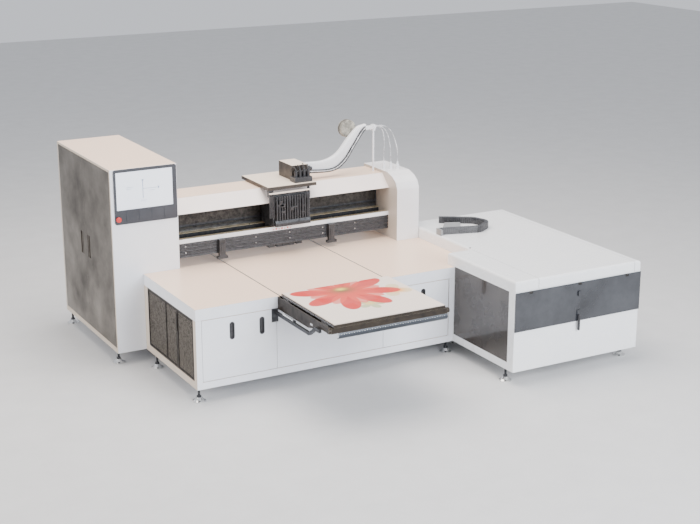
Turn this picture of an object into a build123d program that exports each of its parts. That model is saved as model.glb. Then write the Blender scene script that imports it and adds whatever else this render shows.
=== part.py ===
"""Flatbed UV printer: control tower, base cabinet with a moving print bed, gantry and curing cabinet.

Millimetres, +X right, +Y back, +Z up. The machine is laid out from the base cabinet's front left
corner on the floor, then moved so that the origin is the middle of the whole machine's footprint.
"""

import os
from math import pi, radians, tan

from build123d import *

# ---- sheet metal, seams and fits ----
SHEET = 2.0            # cabinet sheet
TOP_SHEET = 3.0        # table and lid sheet
SEAM = 3.0             # gap round a panel in its opening
SLIDE_GAP = 2.0        # clearance above and beside sliding pieces
PIN_FIT = 0.06         # radial clearance of a hinge pin
BEARING_FIT = 0.5      # clearance of a bearing block on its rail
DOOR_T = 18.0          # thickness of folded doors
DOOR_ROUND = 6.0       # rounding of a door's upright edges
PANEL_FOLD = 20.0      # solid rim of a folded door, which carries its pins
PIN_R = 4.0            # hinge pin
PIN_DEPTH = 24.0       # how far a pin reaches into its door
PANEL_BORDER = 46.0    # white border round the front openings
SILL = 55.0            # height of the front sill above the floor plate

# ---- base cabinet ----
FLOOR_GAP = 110.0      # underside of every cabinet
BASE_W, BASE_D = 2250.0, 2050.0
TABLE_Z = 738.0        # table top
LIP_H = 90.0           # folded edge of the table top
DOOR_W = 613.0         # front door openings
VENT_Y, VENT_W, VENT_DOOR_W = 50.0, 910.0, 318.0
HEADER = 34.0          # square section under the table's front edge
POST = 40.0            # inner frame posts

# ---- control tower ----
TOWER_W, TOWER_D, TOWER_Z = 550.0, 1290.0, 1600.0
TOWER_OUT, TOWER_Y = 240.0, 1035.0
TOWER_BORDER, TOWER_SILL = 20.0, 40.0
BEZEL_W, BEZEL_H, BEZEL_T = 516.0, 434.0, 10.0
SCREEN_W, SCREEN_H, SCREEN_T = 463.0, 297.0, 3.0
STOP_R, STOP_H = 21.0, 18.0      # mushroom button and its height

# ---- curing cabinet on the right ----
BOX_W, BOX_D, BOX_Z = 1210.0, 1895.0, 834.0
BOX_OUT, BOX_LIP = 835.0, 83.0
STRIP_W, STRIP_Y = 220.0, 98.0
FLAP_H, FLAP_T = 314.0, 10.0
LID_ROUND = 20.0

# ---- print bed and its front extension ----
BED_W, BED_D, BED_T = 925.0, 828.0, 19.0
BOARD_T, BOARD_INSET = 6.0, 5.0
BED_OFF, BED_BACK = 27.5, 23.0      # bed centre from the base centre, rear edge in front of the base
BED_LIFT = 4.0                      # bed underside above the table
BED_TRAVEL = 1990.0
RAIL_W, RAIL_H, RAIL_IN = 15.0, 16.0, 3.5
BLOCK_W, BLOCK_H, BLOCK_L = 34.0, 36.0, 110.0
RAIL_DROP = 48.0                    # rail foot below the table top
WEB_T, SLOT_GAP = 3.0, 3.5
ARM_W, ARM_H, ARM_BACK, ARM_DROP = 20.0, 24.0, 311.0, 140.0
EXT_T, EXT_H = 4.0, 98.0
FRONT_BAR = 40.0

# ---- gantry ----
GUARD_Y, GUARD_D, GUARD_LIFT, GUARD_H = 1046.0, 64.0, 78.0, 144.0
BEAM_Y, BEAM_D, BEAM_LIFT, BEAM_H = 1250.0, 180.0, 237.0, 200.0
COVER_Y, COVER_D, COVER_H, COVER_SLOPE = 1037.0, 413.0, 107.0, 113.0
COLUMN_Y, COLUMN_D, COLUMN_TOP = 897.0, 575.0, 1308.0
XRAIL_H, XRAIL_T = 15.0, 12.0
COVER_GAP = 3.0                     # beam top to cover edge

# ---- carriage and head ----
CAR_X, CAR_W = 1135.0, 324.0
CAR_FRONT, CAR_LIFT = 1000.0, 247.0
TRAY_X, TRAY_W, TRAY_D, TRAY_T = 1085.0, 445.0, 511.0, 28.0
HEAD_TRAVEL = 40.0
PRINT_GAP = 4.0
HEAD_D, HEAD_W, LAMP_W = 74.0, 170.0, 54.0
INK_BOX = (150.0, 245.0, 127.0)

# ---- hose run ----
POST_R, POST_X, POST_Y, POST_Z = 9.0, 2216.0, 1250.0, 1640.0
DRUM_R, DRUM_T = 76.0, 62.0
TUBE_D = 8.0
DUCT_T = 48.0

# ---- feet ----
PAD_R, PAD_H, STUD_R, NUT_R, NUT_H = 49.0, 34.0, 9.0, 17.0, 12.0

# ---- levels and places that follow ----
LIP_Z = TABLE_Z - LIP_H
TOWER_X0, TOWER_X1 = -TOWER_OUT, TOWER_W - TOWER_OUT
STRIP_X = BASE_W + STRIP_W
COLUMN_W = STRIP_W - 2 * SLIDE_GAP
BOX_X1, BOX_Y0, BOX_Y1 = BASE_W + BOX_W, -BOX_OUT, BOX_D - BOX_OUT
BED_X = BASE_W / 2 + BED_OFF
BED_X0, BED_X1 = BED_X - BED_W / 2, BED_X + BED_W / 2
BED_Y0 = -BED_BACK - BED_D
BED_Z0 = TABLE_Z + BED_LIFT
BED_Z1 = BED_Z0 + BED_T + BOARD_T
RAIL_XS = (BED_X0 + RAIL_IN, BED_X1 - RAIL_IN)
RAIL_Z = TABLE_Z - RAIL_DROP
BEAM_Z = TABLE_Z + BEAM_LIFT
BEAM_TOP = BEAM_Z + BEAM_H
GUARD_Z = TABLE_Z + GUARD_LIFT
COVER_Z = BEAM_TOP + COVER_GAP
COVER_TOP = COVER_Z + COVER_H
CAR_Z = TABLE_Z + CAR_LIFT
CAR_X1 = CAR_X + CAR_W
TRAY_Z = COVER_TOP + 5.0
LEDGE_Z = GUARD_Z + GUARD_H


# ---- shape helpers ----
def span(x0, x1, y0, y1, z0, z1):
    """A block between two corners."""
    return Pos((x0 + x1) / 2, (y0 + y1) / 2, (z0 + z1) / 2) * Box(x1 - x0, y1 - y0, z1 - z0)


def rod(x, y, z, r, length, axis="z"):
    """A cylinder that starts at a point and runs along +axis."""
    turn = {"x": Rot(0, 90, 0), "y": Rot(-90, 0, 0), "z": Rot(0, 0, 0)}[axis]
    align = (Align.CENTER, Align.CENTER, Align.MIN)
    return Pos(x, y, z) * turn * Cylinder(r, length, align=align)


def footprint(points, z0, z1):
    """An upright prism on an XY outline."""
    return extrude(Plane.XY.offset(z0) * Polygon(*points, align=None), amount=z1 - z0, dir=(0, 0, 1))


def section_x(face, x0, x1):
    """A YZ face carried along X."""
    return extrude(Plane.YZ.offset(x0) * face, amount=x1 - x0, dir=(1, 0, 0))


def inset(points, t):
    """An XY outline moved inwards by t, corners kept sharp."""
    return offset(Polygon(*points, align=None), amount=-t, kind=Kind.INTERSECTION)


def open_box(points, z0, z1, t, lid=False):
    """Walls on an outline with a floor, or with a roof when lid is true."""
    low, high = (z0 - 1, z1 - t) if lid else (z0 + t, z1 + 1)
    hollow = extrude(Plane.XY.offset(low) * inset(points, t), amount=high - low, dir=(0, 0, 1))
    return footprint(points, z0, z1) - hollow


def upright_edges(part, xs, r):
    """Rounds the Z edges that stand at one of the X places."""
    edges = [e for e in part.edges().filter_by(Axis.Z) if min(abs(e.center().X - x) for x in xs) < 0.5]
    return fillet(edges, r) if edges else part


def oval_y(x, z, w, h, y0, y1):
    """An upright oval with its flat ends carried along Y."""
    return extrude(Plane.XZ.offset(-y0) * (Pos(x, z) * SlotOverall(h, w, rotation=90)),
                   amount=y1 - y0, dir=(0, 1, 0))


# ---- base cabinet ----
def base_outline(x1):
    """The base seen from above as far as x1, with the corner that the tower fills left out."""
    notch_x, notch_y = TOWER_X1 + SLIDE_GAP, TOWER_Y - SLIDE_GAP
    front = [(0, 0), (BASE_W, 0)]
    if x1 > BASE_W:
        front += [(BASE_W, STRIP_Y + SLIDE_GAP), (x1, STRIP_Y + SLIDE_GAP)]
    return front + [(x1, BASE_D), (notch_x, BASE_D), (notch_x, notch_y), (0, notch_y)]


PANEL_Z0, PANEL_Z1 = FLOOR_GAP + SILL, LIP_Z
DOOR_XS = (PANEL_BORDER, BASE_W - PANEL_BORDER - DOOR_W)
ARM_XS = (RAIL_XS[0] - BLOCK_W / 2 - SLIDE_GAP - EXT_T - ARM_W, RAIL_XS[1] + BLOCK_W / 2 + SLIDE_GAP + EXT_T)
BRACKET_W, BRACKET_H = 50.0, 104.0
BRACKET_PROUD = 5.0    # how far the brackets stand out of the front
BRACKET_XS = (ARM_XS[0] + ARM_W - BRACKET_W, ARM_XS[1])


NOTCH_Z = LIP_Z - BRACKET_H - SEAM


def bracket_notches(reach=0):
    """The room that the front brackets take out of the panels, the right one reaching further left."""
    x0, x1 = BRACKET_XS
    return [span(x0 - SEAM, x0 + BRACKET_W + SEAM, -1, DOOR_T + 1, NOTCH_Z, LIP_Z + 1),
            span(x1 - SEAM - reach, x1 + BRACKET_W + SEAM, -1, DOOR_T + 1, NOTCH_Z, LIP_Z + 1)]


def base_casing():
    x1 = STRIP_X - SLIDE_GAP
    shell = open_box(base_outline(x1), FLOOR_GAP, LIP_Z, SHEET)
    shell -= span(PANEL_BORDER, BASE_W - PANEL_BORDER, -1, SHEET + 1, PANEL_Z0, LIP_Z + 1)
    return shell - span(-1, SHEET + 1, VENT_Y, VENT_Y + VENT_W, PANEL_Z0, LIP_Z + 1)


def table_top():
    top = open_box(base_outline(BASE_W), LIP_Z, TABLE_Z, TOP_SHEET, lid=True)
    for x in RAIL_XS:
        half = WEB_T / 2 + SLOT_GAP
        end = BED_Y0 + BED_D + BED_TRAVEL + SLIDE_GAP
        top -= span(x - half, x + half, -1, end, RAIL_Z - SLIDE_GAP, TABLE_Z + 1)
        half = BLOCK_W / 2 + SLIDE_GAP
        far = TRACK_OFF + TRACK_W + SLIDE_GAP if x == RAIL_XS[0] else half
        top -= span(x - half, x + far, -1, TOP_SHEET + 1, RAIL_Z - SLIDE_GAP, TABLE_Z - TOP_SHEET)
    return top


def side_cover():
    y0 = STRIP_Y + SLIDE_GAP
    points = [(BASE_W, y0), (STRIP_X - SLIDE_GAP, y0), (STRIP_X - SLIDE_GAP, BASE_D), (BASE_W, BASE_D)]
    return open_box(points, LIP_Z, TABLE_Z, TOP_SHEET, lid=True)


def front_header():
    """A square tube under the table's front edge that takes the upper door pins."""
    t = TOP_SHEET
    tube = span(t, BASE_W - t, t, t + HEADER, LIP_Z, LIP_Z + HEADER)
    return tube - span(t - 1, BASE_W, 2 * t, HEADER, LIP_Z + t, LIP_Z + HEADER - t)


def inner_posts():
    """Upright tubes behind the front brackets and along the back."""
    posts = []
    front_ys = (DOOR_T + SEAM, DOOR_T + SEAM + POST)
    for x in BRACKET_XS:
        posts.append(span(x + (BRACKET_W - POST) / 2, x + (BRACKET_W + POST) / 2, *front_ys, FLOOR_GAP + SHEET, LIP_Z))
    for x in (BASE_W * 0.3, BASE_W * 0.7, BASE_W - POST):
        posts.append(span(x, x + POST, BASE_D - SHEET - POST, BASE_D - SHEET, FLOOR_GAP + SHEET, LIP_Z))
    return posts


def rail_beams():
    """Cross beams under the print bed's rails, from wall to wall."""
    beams = []
    for y in (BASE_D * 0.2, BASE_D * 0.55, BASE_D * 0.9):
        x0 = SHEET if y < TOWER_Y - POST else TOWER_X1 + 2 * SLIDE_GAP
        x0 = max(x0, RAIL_XS[0] - 8 * POST)
        beams.append(span(x0, RAIL_XS[1] + POST, y, y + POST, RAIL_Z - POST, RAIL_Z))
    return beams


def beam_legs():
    """Legs that carry the cross beams from the cabinet's floor."""
    legs = []
    for beam in rail_beams():
        box = beam.bounding_box()
        for x in (box.min.X, box.max.X - POST):
            legs.append(span(x, x + POST, box.min.Y, box.max.Y, FLOOR_GAP + SHEET, RAIL_Z - POST))
    return legs


def front_panel():
    x0, x1 = DOOR_XS[0] + DOOR_W + SEAM / 2, DOOR_XS[1] - SEAM / 2
    z0, z1, rim = PANEL_Z0 + SEAM, PANEL_Z1 - SEAM, PANEL_FOLD
    panel = span(x0, x1, 0, DOOR_T, z0, z1)
    panel -= span(x0 + rim, x1 - rim, SHEET, DOOR_T + 1, z0 + rim, z1 - rim)
    reach = BRACKET_XS[1] - SEAM
    panel += span(min(x1, reach), max(x1, reach), 0, DOOR_T, NOTCH_Z + SEAM, z1)
    for notch in bracket_notches():
        panel -= notch
    return panel


def pocket_places(side):
    """Middles of the two oval pull pockets of one front door."""
    x0 = DOOR_XS[side]
    return [(x0 + DOOR_W * 0.4, PULL_Z), (x0 + DOOR_W * 0.8, PULL_Z)] if side == 0 else \
        [(x0 + DOOR_W * 0.2, PULL_Z), (x0 + DOOR_W * 0.6, PULL_Z)]


PULL_Z, PULL_W, PULL_H, PULL_D = 532.0, 42.0, 137.0, 14.0


def front_door(side):
    x0 = DOOR_XS[side] + SEAM / 2
    x1 = x0 + DOOR_W - SEAM
    door = span(x0, x1, 0, DOOR_T, PANEL_Z0 + SEAM, PANEL_Z1 - SEAM)
    door = upright_edges(door, [x0 if side == 0 else x1], DOOR_ROUND)
    rim = PANEL_FOLD
    door -= span(x0 + rim, x1 - rim, SHEET, DOOR_T + 1, PANEL_Z0 + SEAM + rim, PANEL_Z1 - SEAM - rim)
    for x, z in pocket_places(side):
        door -= oval_y(x, z, PULL_W, PULL_H, -1, SHEET + 1)
    for notch in bracket_notches(reach=PANEL_BORDER):
        door -= notch
    pin_x = door_pin_x(side)
    for z in (PANEL_Z0 + SEAM - 1, PANEL_Z1 - SEAM - PIN_DEPTH):
        door -= rod(pin_x, DOOR_T / 2, z, PIN_R + PIN_FIT, PIN_DEPTH + 1)
    return door


def door_pin_x(side):
    edge = SEAM / 2 + DOOR_T / 2
    return DOOR_XS[0] + edge if side == 0 else DOOR_XS[1] + DOOR_W - edge


def front_door_pulls(side):
    """Black oval cups set into the door, open at the front."""
    cups = []
    for x, z in pocket_places(side):
        cup = oval_y(x, z, PULL_W, PULL_H, 0, PULL_D)
        cups.append(cup - oval_y(x, z, PULL_W - 8, PULL_H - 8, -1, PULL_D - 3))
    return cups


def front_door_pins():
    pins = []
    for side in (0, 1):
        x, y = door_pin_x(side), DOOR_T / 2
        floor = FLOOR_GAP + SHEET
        pins.append(rod(x, y, floor, PIN_R, PANEL_Z0 + SEAM + PIN_DEPTH - 2 - floor))
        top = PANEL_Z1 - SEAM - PIN_DEPTH + 2
        pins.append(rod(x, y, top, PIN_R, LIP_Z - top))
    return pins


VENT_PIN_Y = VENT_Y + SEAM + DOOR_T / 2
VENT_RIM = 14.0
HOLD_W, HOLD_H = 20.0, 140.0


def vent_frame(y0, y1, rim_y):
    """A frame of folded sheet round a mesh, for the cabinet's left side."""
    z0, z1 = PANEL_Z0 + SEAM, PANEL_Z1 - SEAM
    frame = span(0, DOOR_T, y0, y1, z0, z1)
    return frame - span(-1, DOOR_T + 1, y0 + rim_y, y1 - rim_y, z0 + VENT_RIM, z1 - VENT_RIM)


VENT_DOOR_YS = (VENT_Y + SEAM, VENT_Y + VENT_DOOR_W - SEAM / 2)


def vent_door():
    y0, y1 = VENT_DOOR_YS
    door = vent_frame(y0, y1, PANEL_FOLD)
    edges = [e for e in door.edges().filter_by(Axis.Z) if abs(e.center().Y - y0) < 0.5]
    door = fillet(edges, DOOR_ROUND)
    for z in (PANEL_Z0 + SEAM - 1, PANEL_Z1 - SEAM - VENT_RIM - 1):
        door -= rod(DOOR_T / 2, VENT_PIN_Y, z, PIN_R + PIN_FIT, VENT_RIM + 3)
    return door - span(-1, DOOR_T - 4, y1 - HOLD_W, y1 - 4, LIP_Z - 180, LIP_Z - 180 + HOLD_H)


def vent_mesh(y0, y1, rim_y):
    z0, z1 = PANEL_Z0 + SEAM + VENT_RIM, PANEL_Z1 - SEAM - VENT_RIM
    return span(4, 4 + SHEET, y0 + rim_y, y1 - rim_y, z0, z1)


def vent_pins():
    floor = FLOOR_GAP + SHEET
    low = rod(DOOR_T / 2, VENT_PIN_Y, floor, PIN_R, PANEL_Z0 + SEAM + VENT_RIM - 2 - floor)
    top = PANEL_Z1 - SEAM - VENT_RIM + 2
    return [low, rod(DOOR_T / 2, VENT_PIN_Y, top, PIN_R, LIP_Z - top)]


def vent_header():
    """A strip under the table's left edge that takes the vent door's upper pin."""
    t = TOP_SHEET
    return span(t, t + HEADER, t + HEADER, TOWER_Y - SLIDE_GAP - t, LIP_Z, LIP_Z + HEADER)


def vent_panel():
    y0, y1 = VENT_Y + VENT_DOOR_W + SEAM / 2, VENT_Y + VENT_W - SEAM
    panel = vent_frame(y0, y1, VENT_RIM)
    bar_y = y0 + (y1 - y0) * 0.37
    return panel + span(0, DOOR_T, bar_y - 6, bar_y + 6, PANEL_Z0 + SEAM + VENT_RIM, PANEL_Z1 - SEAM - VENT_RIM)


def vent_panel_infill():
    """The plain sheet and the mesh that fill the fixed side panel."""
    y0, y1 = VENT_Y + VENT_DOOR_W + SEAM / 2, VENT_Y + VENT_W - SEAM
    bar_y = y0 + (y1 - y0) * 0.37
    z0, z1 = PANEL_Z0 + SEAM + VENT_RIM, PANEL_Z1 - SEAM - VENT_RIM
    return [span(4, 4 + SHEET, y0 + VENT_RIM, bar_y - 6, z0, z1),
            span(4, 4 + SHEET, bar_y + 6, y1 - VENT_RIM, z0, z1)]


# ---- inside the base ----
def ink_tanks():
    """Six square ink bottles on the cabinet's floor behind the left door."""
    tanks = []
    for i in range(6):
        x = DOOR_XS[0] + 60 + i * 90
        z = FLOOR_GAP + SHEET
        body = span(x, x + 74, 120, 280, z, z + 210)
        tanks.append(body + rod(x + 37, 200, z + 210, 20, 28))
    return tanks


def vacuum_pump():
    x, z = DOOR_XS[1] + 120, FLOOR_GAP + SHEET
    return span(x, x + 340, 200, 420, z, z + 40) + rod(x + 20, 310, z + 145, 105, 300, "x")


TRACK_W, TRACK_H, TRACK_OFF = 32.0, 8.0, 22.0


def bed_track():
    """Magnet track of the bed's linear motor, beside the left rail."""
    x = RAIL_XS[0] + TRACK_OFF
    return span(x, x + TRACK_W, BED_Y0 + FRONT_BAR, BASE_D - 8, RAIL_Z, RAIL_Z + TRACK_H)


# ---- print bed and front extension ----
def bed_plate():
    return span(BED_X0, BED_X1, BED_Y0, BED_Y0 + BED_D, BED_Z0, BED_Z0 + BED_T)


def print_board():
    i = BOARD_INSET
    return span(BED_X0 + i, BED_X1 - i, BED_Y0 + i, BED_Y0 + BED_D - i, BED_Z0 + BED_T, BED_Z1)


BLOCK_YS = (BED_Y0 + 90.0, BED_Y0 + BED_D - BLOCK_L - 20.0)


def bed_blocks():
    """Four bearing blocks, each an inverted U over its rail, and the linear motor's coil."""
    blocks = []
    for x in RAIL_XS:
        for y in BLOCK_YS:
            z = RAIL_Z + 8
            block = span(x - BLOCK_W / 2, x + BLOCK_W / 2, y, y + BLOCK_L, z, z + BLOCK_H - 8)
            half = RAIL_W / 2 + BEARING_FIT
            blocks.append(block - span(x - half, x + half, y - 1, y + BLOCK_L + 1, z - 1,
                                       RAIL_Z + RAIL_H + BEARING_FIT))
    x, y, z = RAIL_XS[0] + BLOCK_W / 2, BLOCK_YS[1], RAIL_Z + TRACK_H + 1
    return blocks + [span(x, x + TRACK_W + 4, y, y + BLOCK_L, z, z + 25)]


def bed_webs():
    """Thin blades that carry the bed through the table's slots."""
    return [span(x - WEB_T / 2, x + WEB_T / 2, y, y + BLOCK_L, RAIL_Z + BLOCK_H, BED_Z0)
            for x in RAIL_XS for y in BLOCK_YS]


def bed_rails():
    """Two rails from the front extension to the back of the base."""
    return [span(x - RAIL_W / 2, x + RAIL_W / 2, BED_Y0 + FRONT_BAR, BASE_D - 8, RAIL_Z, RAIL_Z + RAIL_H)
            for x in RAIL_XS]


def extension_sides():
    """Side plates of the front extension, deep at the base and shallow at the front."""
    top = TABLE_Z
    low, front = top - EXT_H, top - FRONT_BAR
    y_front = BED_Y0 + FRONT_BAR
    points = [(0, top), (0, low), (BED_Y0 * 0.58, low), (BED_Y0 * 0.82, front - 8), (y_front, front - 8),
              (y_front, top)]
    face = Polygon(*points, align=None) - Pos(BED_Y0 * 0.635, low + 42) * Rectangle(46, 26)
    plates = []
    for x in (ARM_XS[0] + ARM_W, ARM_XS[1] - EXT_T):
        plates.append(section_x(face, x, x + EXT_T))
    return plates


def extension_shelf():
    """Plate between the side plates that carries the front part of the rails."""
    x0, x1 = ARM_XS[0] + ARM_W + EXT_T, ARM_XS[1] - EXT_T
    return span(x0, x1, BED_Y0 + FRONT_BAR, 0, RAIL_Z - 5, RAIL_Z)


def front_bar():
    """Box section across the front of the extension, with round end caps."""
    x0, x1 = ARM_XS[0] + ARM_W, ARM_XS[1]
    z0 = TABLE_Z - FRONT_BAR
    bar = span(x0, x1, BED_Y0, BED_Y0 + FRONT_BAR, z0, TABLE_Z + SLIDE_GAP / 2)
    return [bar] + [rod(x, BED_Y0 + FRONT_BAR / 2, z0 + FRONT_BAR / 2, FRONT_BAR / 2, 20, "x")
                    for x in (x0 - 20, x1)]


GRAB_R, GRAB_T, GRAB_STRIP = 30.0, 4.0, 4.0


def grab_bar():
    """A half-round channel under the front bar, to take hold of."""
    y, z = BED_Y0 + GRAB_R, TABLE_Z - FRONT_BAR - GRAB_R + 8
    face = Pos(y, z) * (Circle(GRAB_R) - Circle(GRAB_R - GRAB_T))
    face &= Pos(y - GRAB_R / 2, z - GRAB_R / 2 + 2) * Rectangle(GRAB_R, GRAB_R + 4 + GRAB_R)
    face -= Pos(y, z + GRAB_R) * Rectangle(3 * GRAB_R, 16)
    top = Pos(y - GRAB_R / 2, z + GRAB_R - 8 - GRAB_STRIP / 2) * Rectangle(GRAB_R * 0.7, GRAB_STRIP)
    x0, x1 = BED_X0 + 40, ARM_XS[1] + 4
    return section_x(face + top, x0, x1)


def grab_hangers():
    """Small ribs under the strip that joins the channel to the front bar."""
    z = TABLE_Z - FRONT_BAR - GRAB_STRIP
    return [span(x, x + 12, BED_Y0 + 18, BED_Y0 + 26, z - 18, z) for x in (BED_X0 + 60, BED_X, BED_X1 - 40)]


def arm_brackets():
    """Black wall plates that carry the extension's two stay arms."""
    z1 = LIP_Z
    return [span(x, x + BRACKET_W, -BRACKET_PROUD, DOOR_T + SEAM, z1 - BRACKET_H, z1) for x in BRACKET_XS]


def stay_arms():
    """Flat arms that run forward and curve up to the extension's side plates."""
    z1 = TABLE_Z - ARM_DROP + ARM_H
    z0 = z1 - ARM_H
    rise = TABLE_Z - FRONT_BAR - 2
    bend = BED_Y0 + ARM_BACK
    path = FilletPolyline((-5, (z0 + z1) / 2), (bend, (z0 + z1) / 2), (bend - 90, rise - 20),
                          (bend - 160, rise - 20), radius=35)
    face = trace(path, ARM_H)
    return [section_x(face, x, x + ARM_W) for x in ARM_XS]


def arm_dampers():
    """A bright round bar with a dark end on each stay arm."""
    z = TABLE_Z - ARM_DROP + ARM_H + DAMPER_R
    return [rod(x + ARM_W / 2, -285, z, DAMPER_R, 166, "y") for x in ARM_XS]


DAMPER_R = 9.5


def arm_damper_caps():
    z = TABLE_Z - ARM_DROP + ARM_H + DAMPER_R
    return [rod(x + ARM_W / 2, -303, z, DAMPER_R, 18, "y") for x in ARM_XS]


# ---- gantry ----
GANTRY_X0, GANTRY_X1 = TOWER_X1, BASE_W


def x_beam():
    """Hollow box beam between its two end plates."""
    x0, x1 = GANTRY_X0 + END_PLATE, GANTRY_X1 - END_PLATE
    y0, y1 = BEAM_Y, BEAM_Y + BEAM_D
    beam = span(x0, x1, y0, y1, BEAM_Z, BEAM_TOP)
    return beam - span(x0 - 1, x1 + 1, y0 + 10, y1 - 10, BEAM_Z + 10, BEAM_TOP - 10)


END_PLATE, POST_W = 14.0, 120.0


def beam_end_plates():
    return [span(x, x + END_PLATE, BEAM_Y + 4, BEAM_Y + BEAM_D - 4, BEAM_Z, BEAM_TOP - 4)
            for x in (GANTRY_X0, GANTRY_X1 - END_PLATE)]


def column_posts():
    """Steel posts under the beam's ends: one inside the tower, one in the right column."""
    posts = []
    for x, z in ((GANTRY_X0 - SHEET - POST_W, FLOOR_GAP + SHEET), (BASE_W + TOP_SHEET + SHEET, TABLE_Z)):
        y0, y1 = BEAM_Y, BEAM_Y + BEAM_D
        tube = span(x, x + POST_W, y0, y1, z, BEAM_TOP)
        posts.append(tube - span(x + 8, x + POST_W - 8, y0 + 8, y1 - 8, z - 1, BEAM_TOP + 1))
    return posts


def column_face(shrink=0):
    """The right column's rounded outline seen from the side."""
    y0, y1, z1 = COLUMN_Y + shrink, COLUMN_Y + COLUMN_D - shrink, COLUMN_TOP - shrink
    s = shrink * 0.4
    points = [(y0, TABLE_Z), (y0, z1 - 122 + s), (y0 + 26, z1 - 67 + s), (y0 + 85, z1 - 26 + s), (y0 + 170, z1),
              (y1, z1), (y1, TABLE_Z)]
    line = Polyline(*points, close=True)
    face = make_face(line)
    corners = [v for v in face.vertices() if v.Y > TABLE_Z + 1 and v.X < y1 - 1]
    return fillet(corners, 30)


def right_column():
    """White cover of the right column, a shell open at the bottom."""
    outer = section_x(column_face(), BASE_W, BASE_W + COLUMN_W)
    inner = section_x(column_face(TOP_SHEET), BASE_W + TOP_SHEET, BASE_W + COLUMN_W - TOP_SHEET)
    shell = outer - inner
    y0, y1 = BEAM_Y + 2, BEAM_Y + BEAM_D - 2
    return shell - span(BASE_W - 1, BASE_W + TOP_SHEET + 1, y0, y1, BEAM_Z, BEAM_TOP - 4)


def cover_face(t):
    """The beam cover's outline: a front lip, a slope and a flat top, moved inwards by t."""
    y0, y1 = COVER_Y + t, COVER_Y + COVER_D - t
    z0, z1 = COVER_Z, COVER_TOP - t
    slope = t * 0.45
    return Polygon((y0, z0), (y0 + COVER_SLOPE + slope, z1), (y1, z1), (y1, z0), align=None)


def beam_cover():
    """Folded white cover over the beam, with a seam pressed where the slope meets the top."""
    shell = section_x(cover_face(0) - cover_face(TOP_SHEET), GANTRY_X0, GANTRY_X1)
    y = COVER_Y + COVER_SLOPE + 6
    return shell - span(GANTRY_X0 - 1, GANTRY_X1 + 1, y, y + 3, COVER_TOP - 1.2, COVER_TOP + 1)


def cover_ribs():
    """Plates that stand on the beam and carry the cover."""
    y0, y1 = BEAM_Y + 5, BEAM_Y + BEAM_D - 5
    places = [GANTRY_X0 + 60, (GANTRY_X0 + GANTRY_X1) / 2, GANTRY_X1 - 90]
    return [span(x, x + 8, y0, y1, BEAM_TOP, COVER_TOP - TOP_SHEET) for x in places]


def beam_rails():
    """Two linear rails along the front of the beam."""
    x0, x1 = GANTRY_X0 + END_PLATE + 4, GANTRY_X1 - END_PLATE - 4
    return [span(x0, x1, BEAM_Y - XRAIL_T, BEAM_Y, z, z + XRAIL_H) for z in XRAIL_ZS]


XRAIL_ZS = (BEAM_Z + 25.0, BEAM_TOP - 40.0)
def beam_track():
    """Magnet track of the carriage's linear motor, between the rails."""
    x0, x1 = GANTRY_X0 + END_PLATE + 4, GANTRY_X1 - END_PLATE - 4
    return span(x0, x1, BEAM_Y - TRACK_H, BEAM_Y, XRAIL_ZS[0] + XRAIL_H + 20, XRAIL_ZS[1] - 20)


def guard_beam():
    """Black ribbed beam across the front of the printing gap."""
    beam = span(GANTRY_X0, GANTRY_X1, GUARD_Y, GUARD_Y + GUARD_D, GUARD_Z, LEDGE_Z)
    for k in range(4):
        z = GUARD_Z + 16 + k * 27
        beam -= span(GANTRY_X0 - 1, GANTRY_X1 + 1, GUARD_Y - 1, GUARD_Y + 7, z, z + 13)
    return beam


def guard_strip():
    """White strip along the top of the guard's front face."""
    return span(GANTRY_X0, GANTRY_X1, GUARD_Y - 3, GUARD_Y, LEDGE_Z - 24, LEDGE_Z + 10)


def guard_ledges():
    """Bright ledges in front of and behind the slot that the print heads hang through."""
    front = span(GANTRY_X0, GANTRY_X1, GUARD_Y, GUARD_Y + GUARD_D, LEDGE_Z, LEDGE_Z + 4)
    rear = span(GANTRY_X0, GANTRY_X1, SLOT_Y1, BEAM_Y + 30, BEAM_Z - 4, BEAM_Z)
    return [front, rear]


SLOT_Y0 = GUARD_Y + GUARD_D
SLOT_Y1 = SLOT_Y0 + HEAD_D + 18.0


def rear_apron():
    """Black sheet that closes the printing gap behind the heads."""
    return span(GANTRY_X0, GANTRY_X1, SLOT_Y1 + 10, SLOT_Y1 + 12, GUARD_Z, BEAM_Z - 4)


SENSOR_W, SENSOR_FOOT = 52.0, 88.0


def crash_sensors():
    """Two height sensors that hang in front of the guard beside the bed's path."""
    sensors = []
    for x in (BED_X0 - 14.0, BED_X1 + 64.0):
        body = span(x - SENSOR_W / 2, x + SENSOR_W / 2, GUARD_Y - 37, GUARD_Y - 3, GUARD_Z - 20, LEDGE_Z - 26)
        body += span(x - 12, x + 12, GUARD_Y - 44, GUARD_Y - 37, GUARD_Z + 20, LEDGE_Z - 60)
        foot = span(x - SENSOR_FOOT / 2, x + SENSOR_FOOT / 2, GUARD_Y - 42, GUARD_Y - 6, BED_Z1 + 8, GUARD_Z - 20)
        sensors.append(body + foot)
    return sensors


# ---- carriage, which runs along the beam ----
YOKE_T = 8.0
PLATE_Y = BEAM_Y - XRAIL_T - 20.0
FRONT_Y = COVER_Y - 6.0


def carriage_plate():
    """Upright plate that carries the bearing blocks and the head's lift."""
    return span(CAR_X, CAR_X1, PLATE_Y - 10, PLATE_Y, CAR_Z, COVER_Z - 5)


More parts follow.
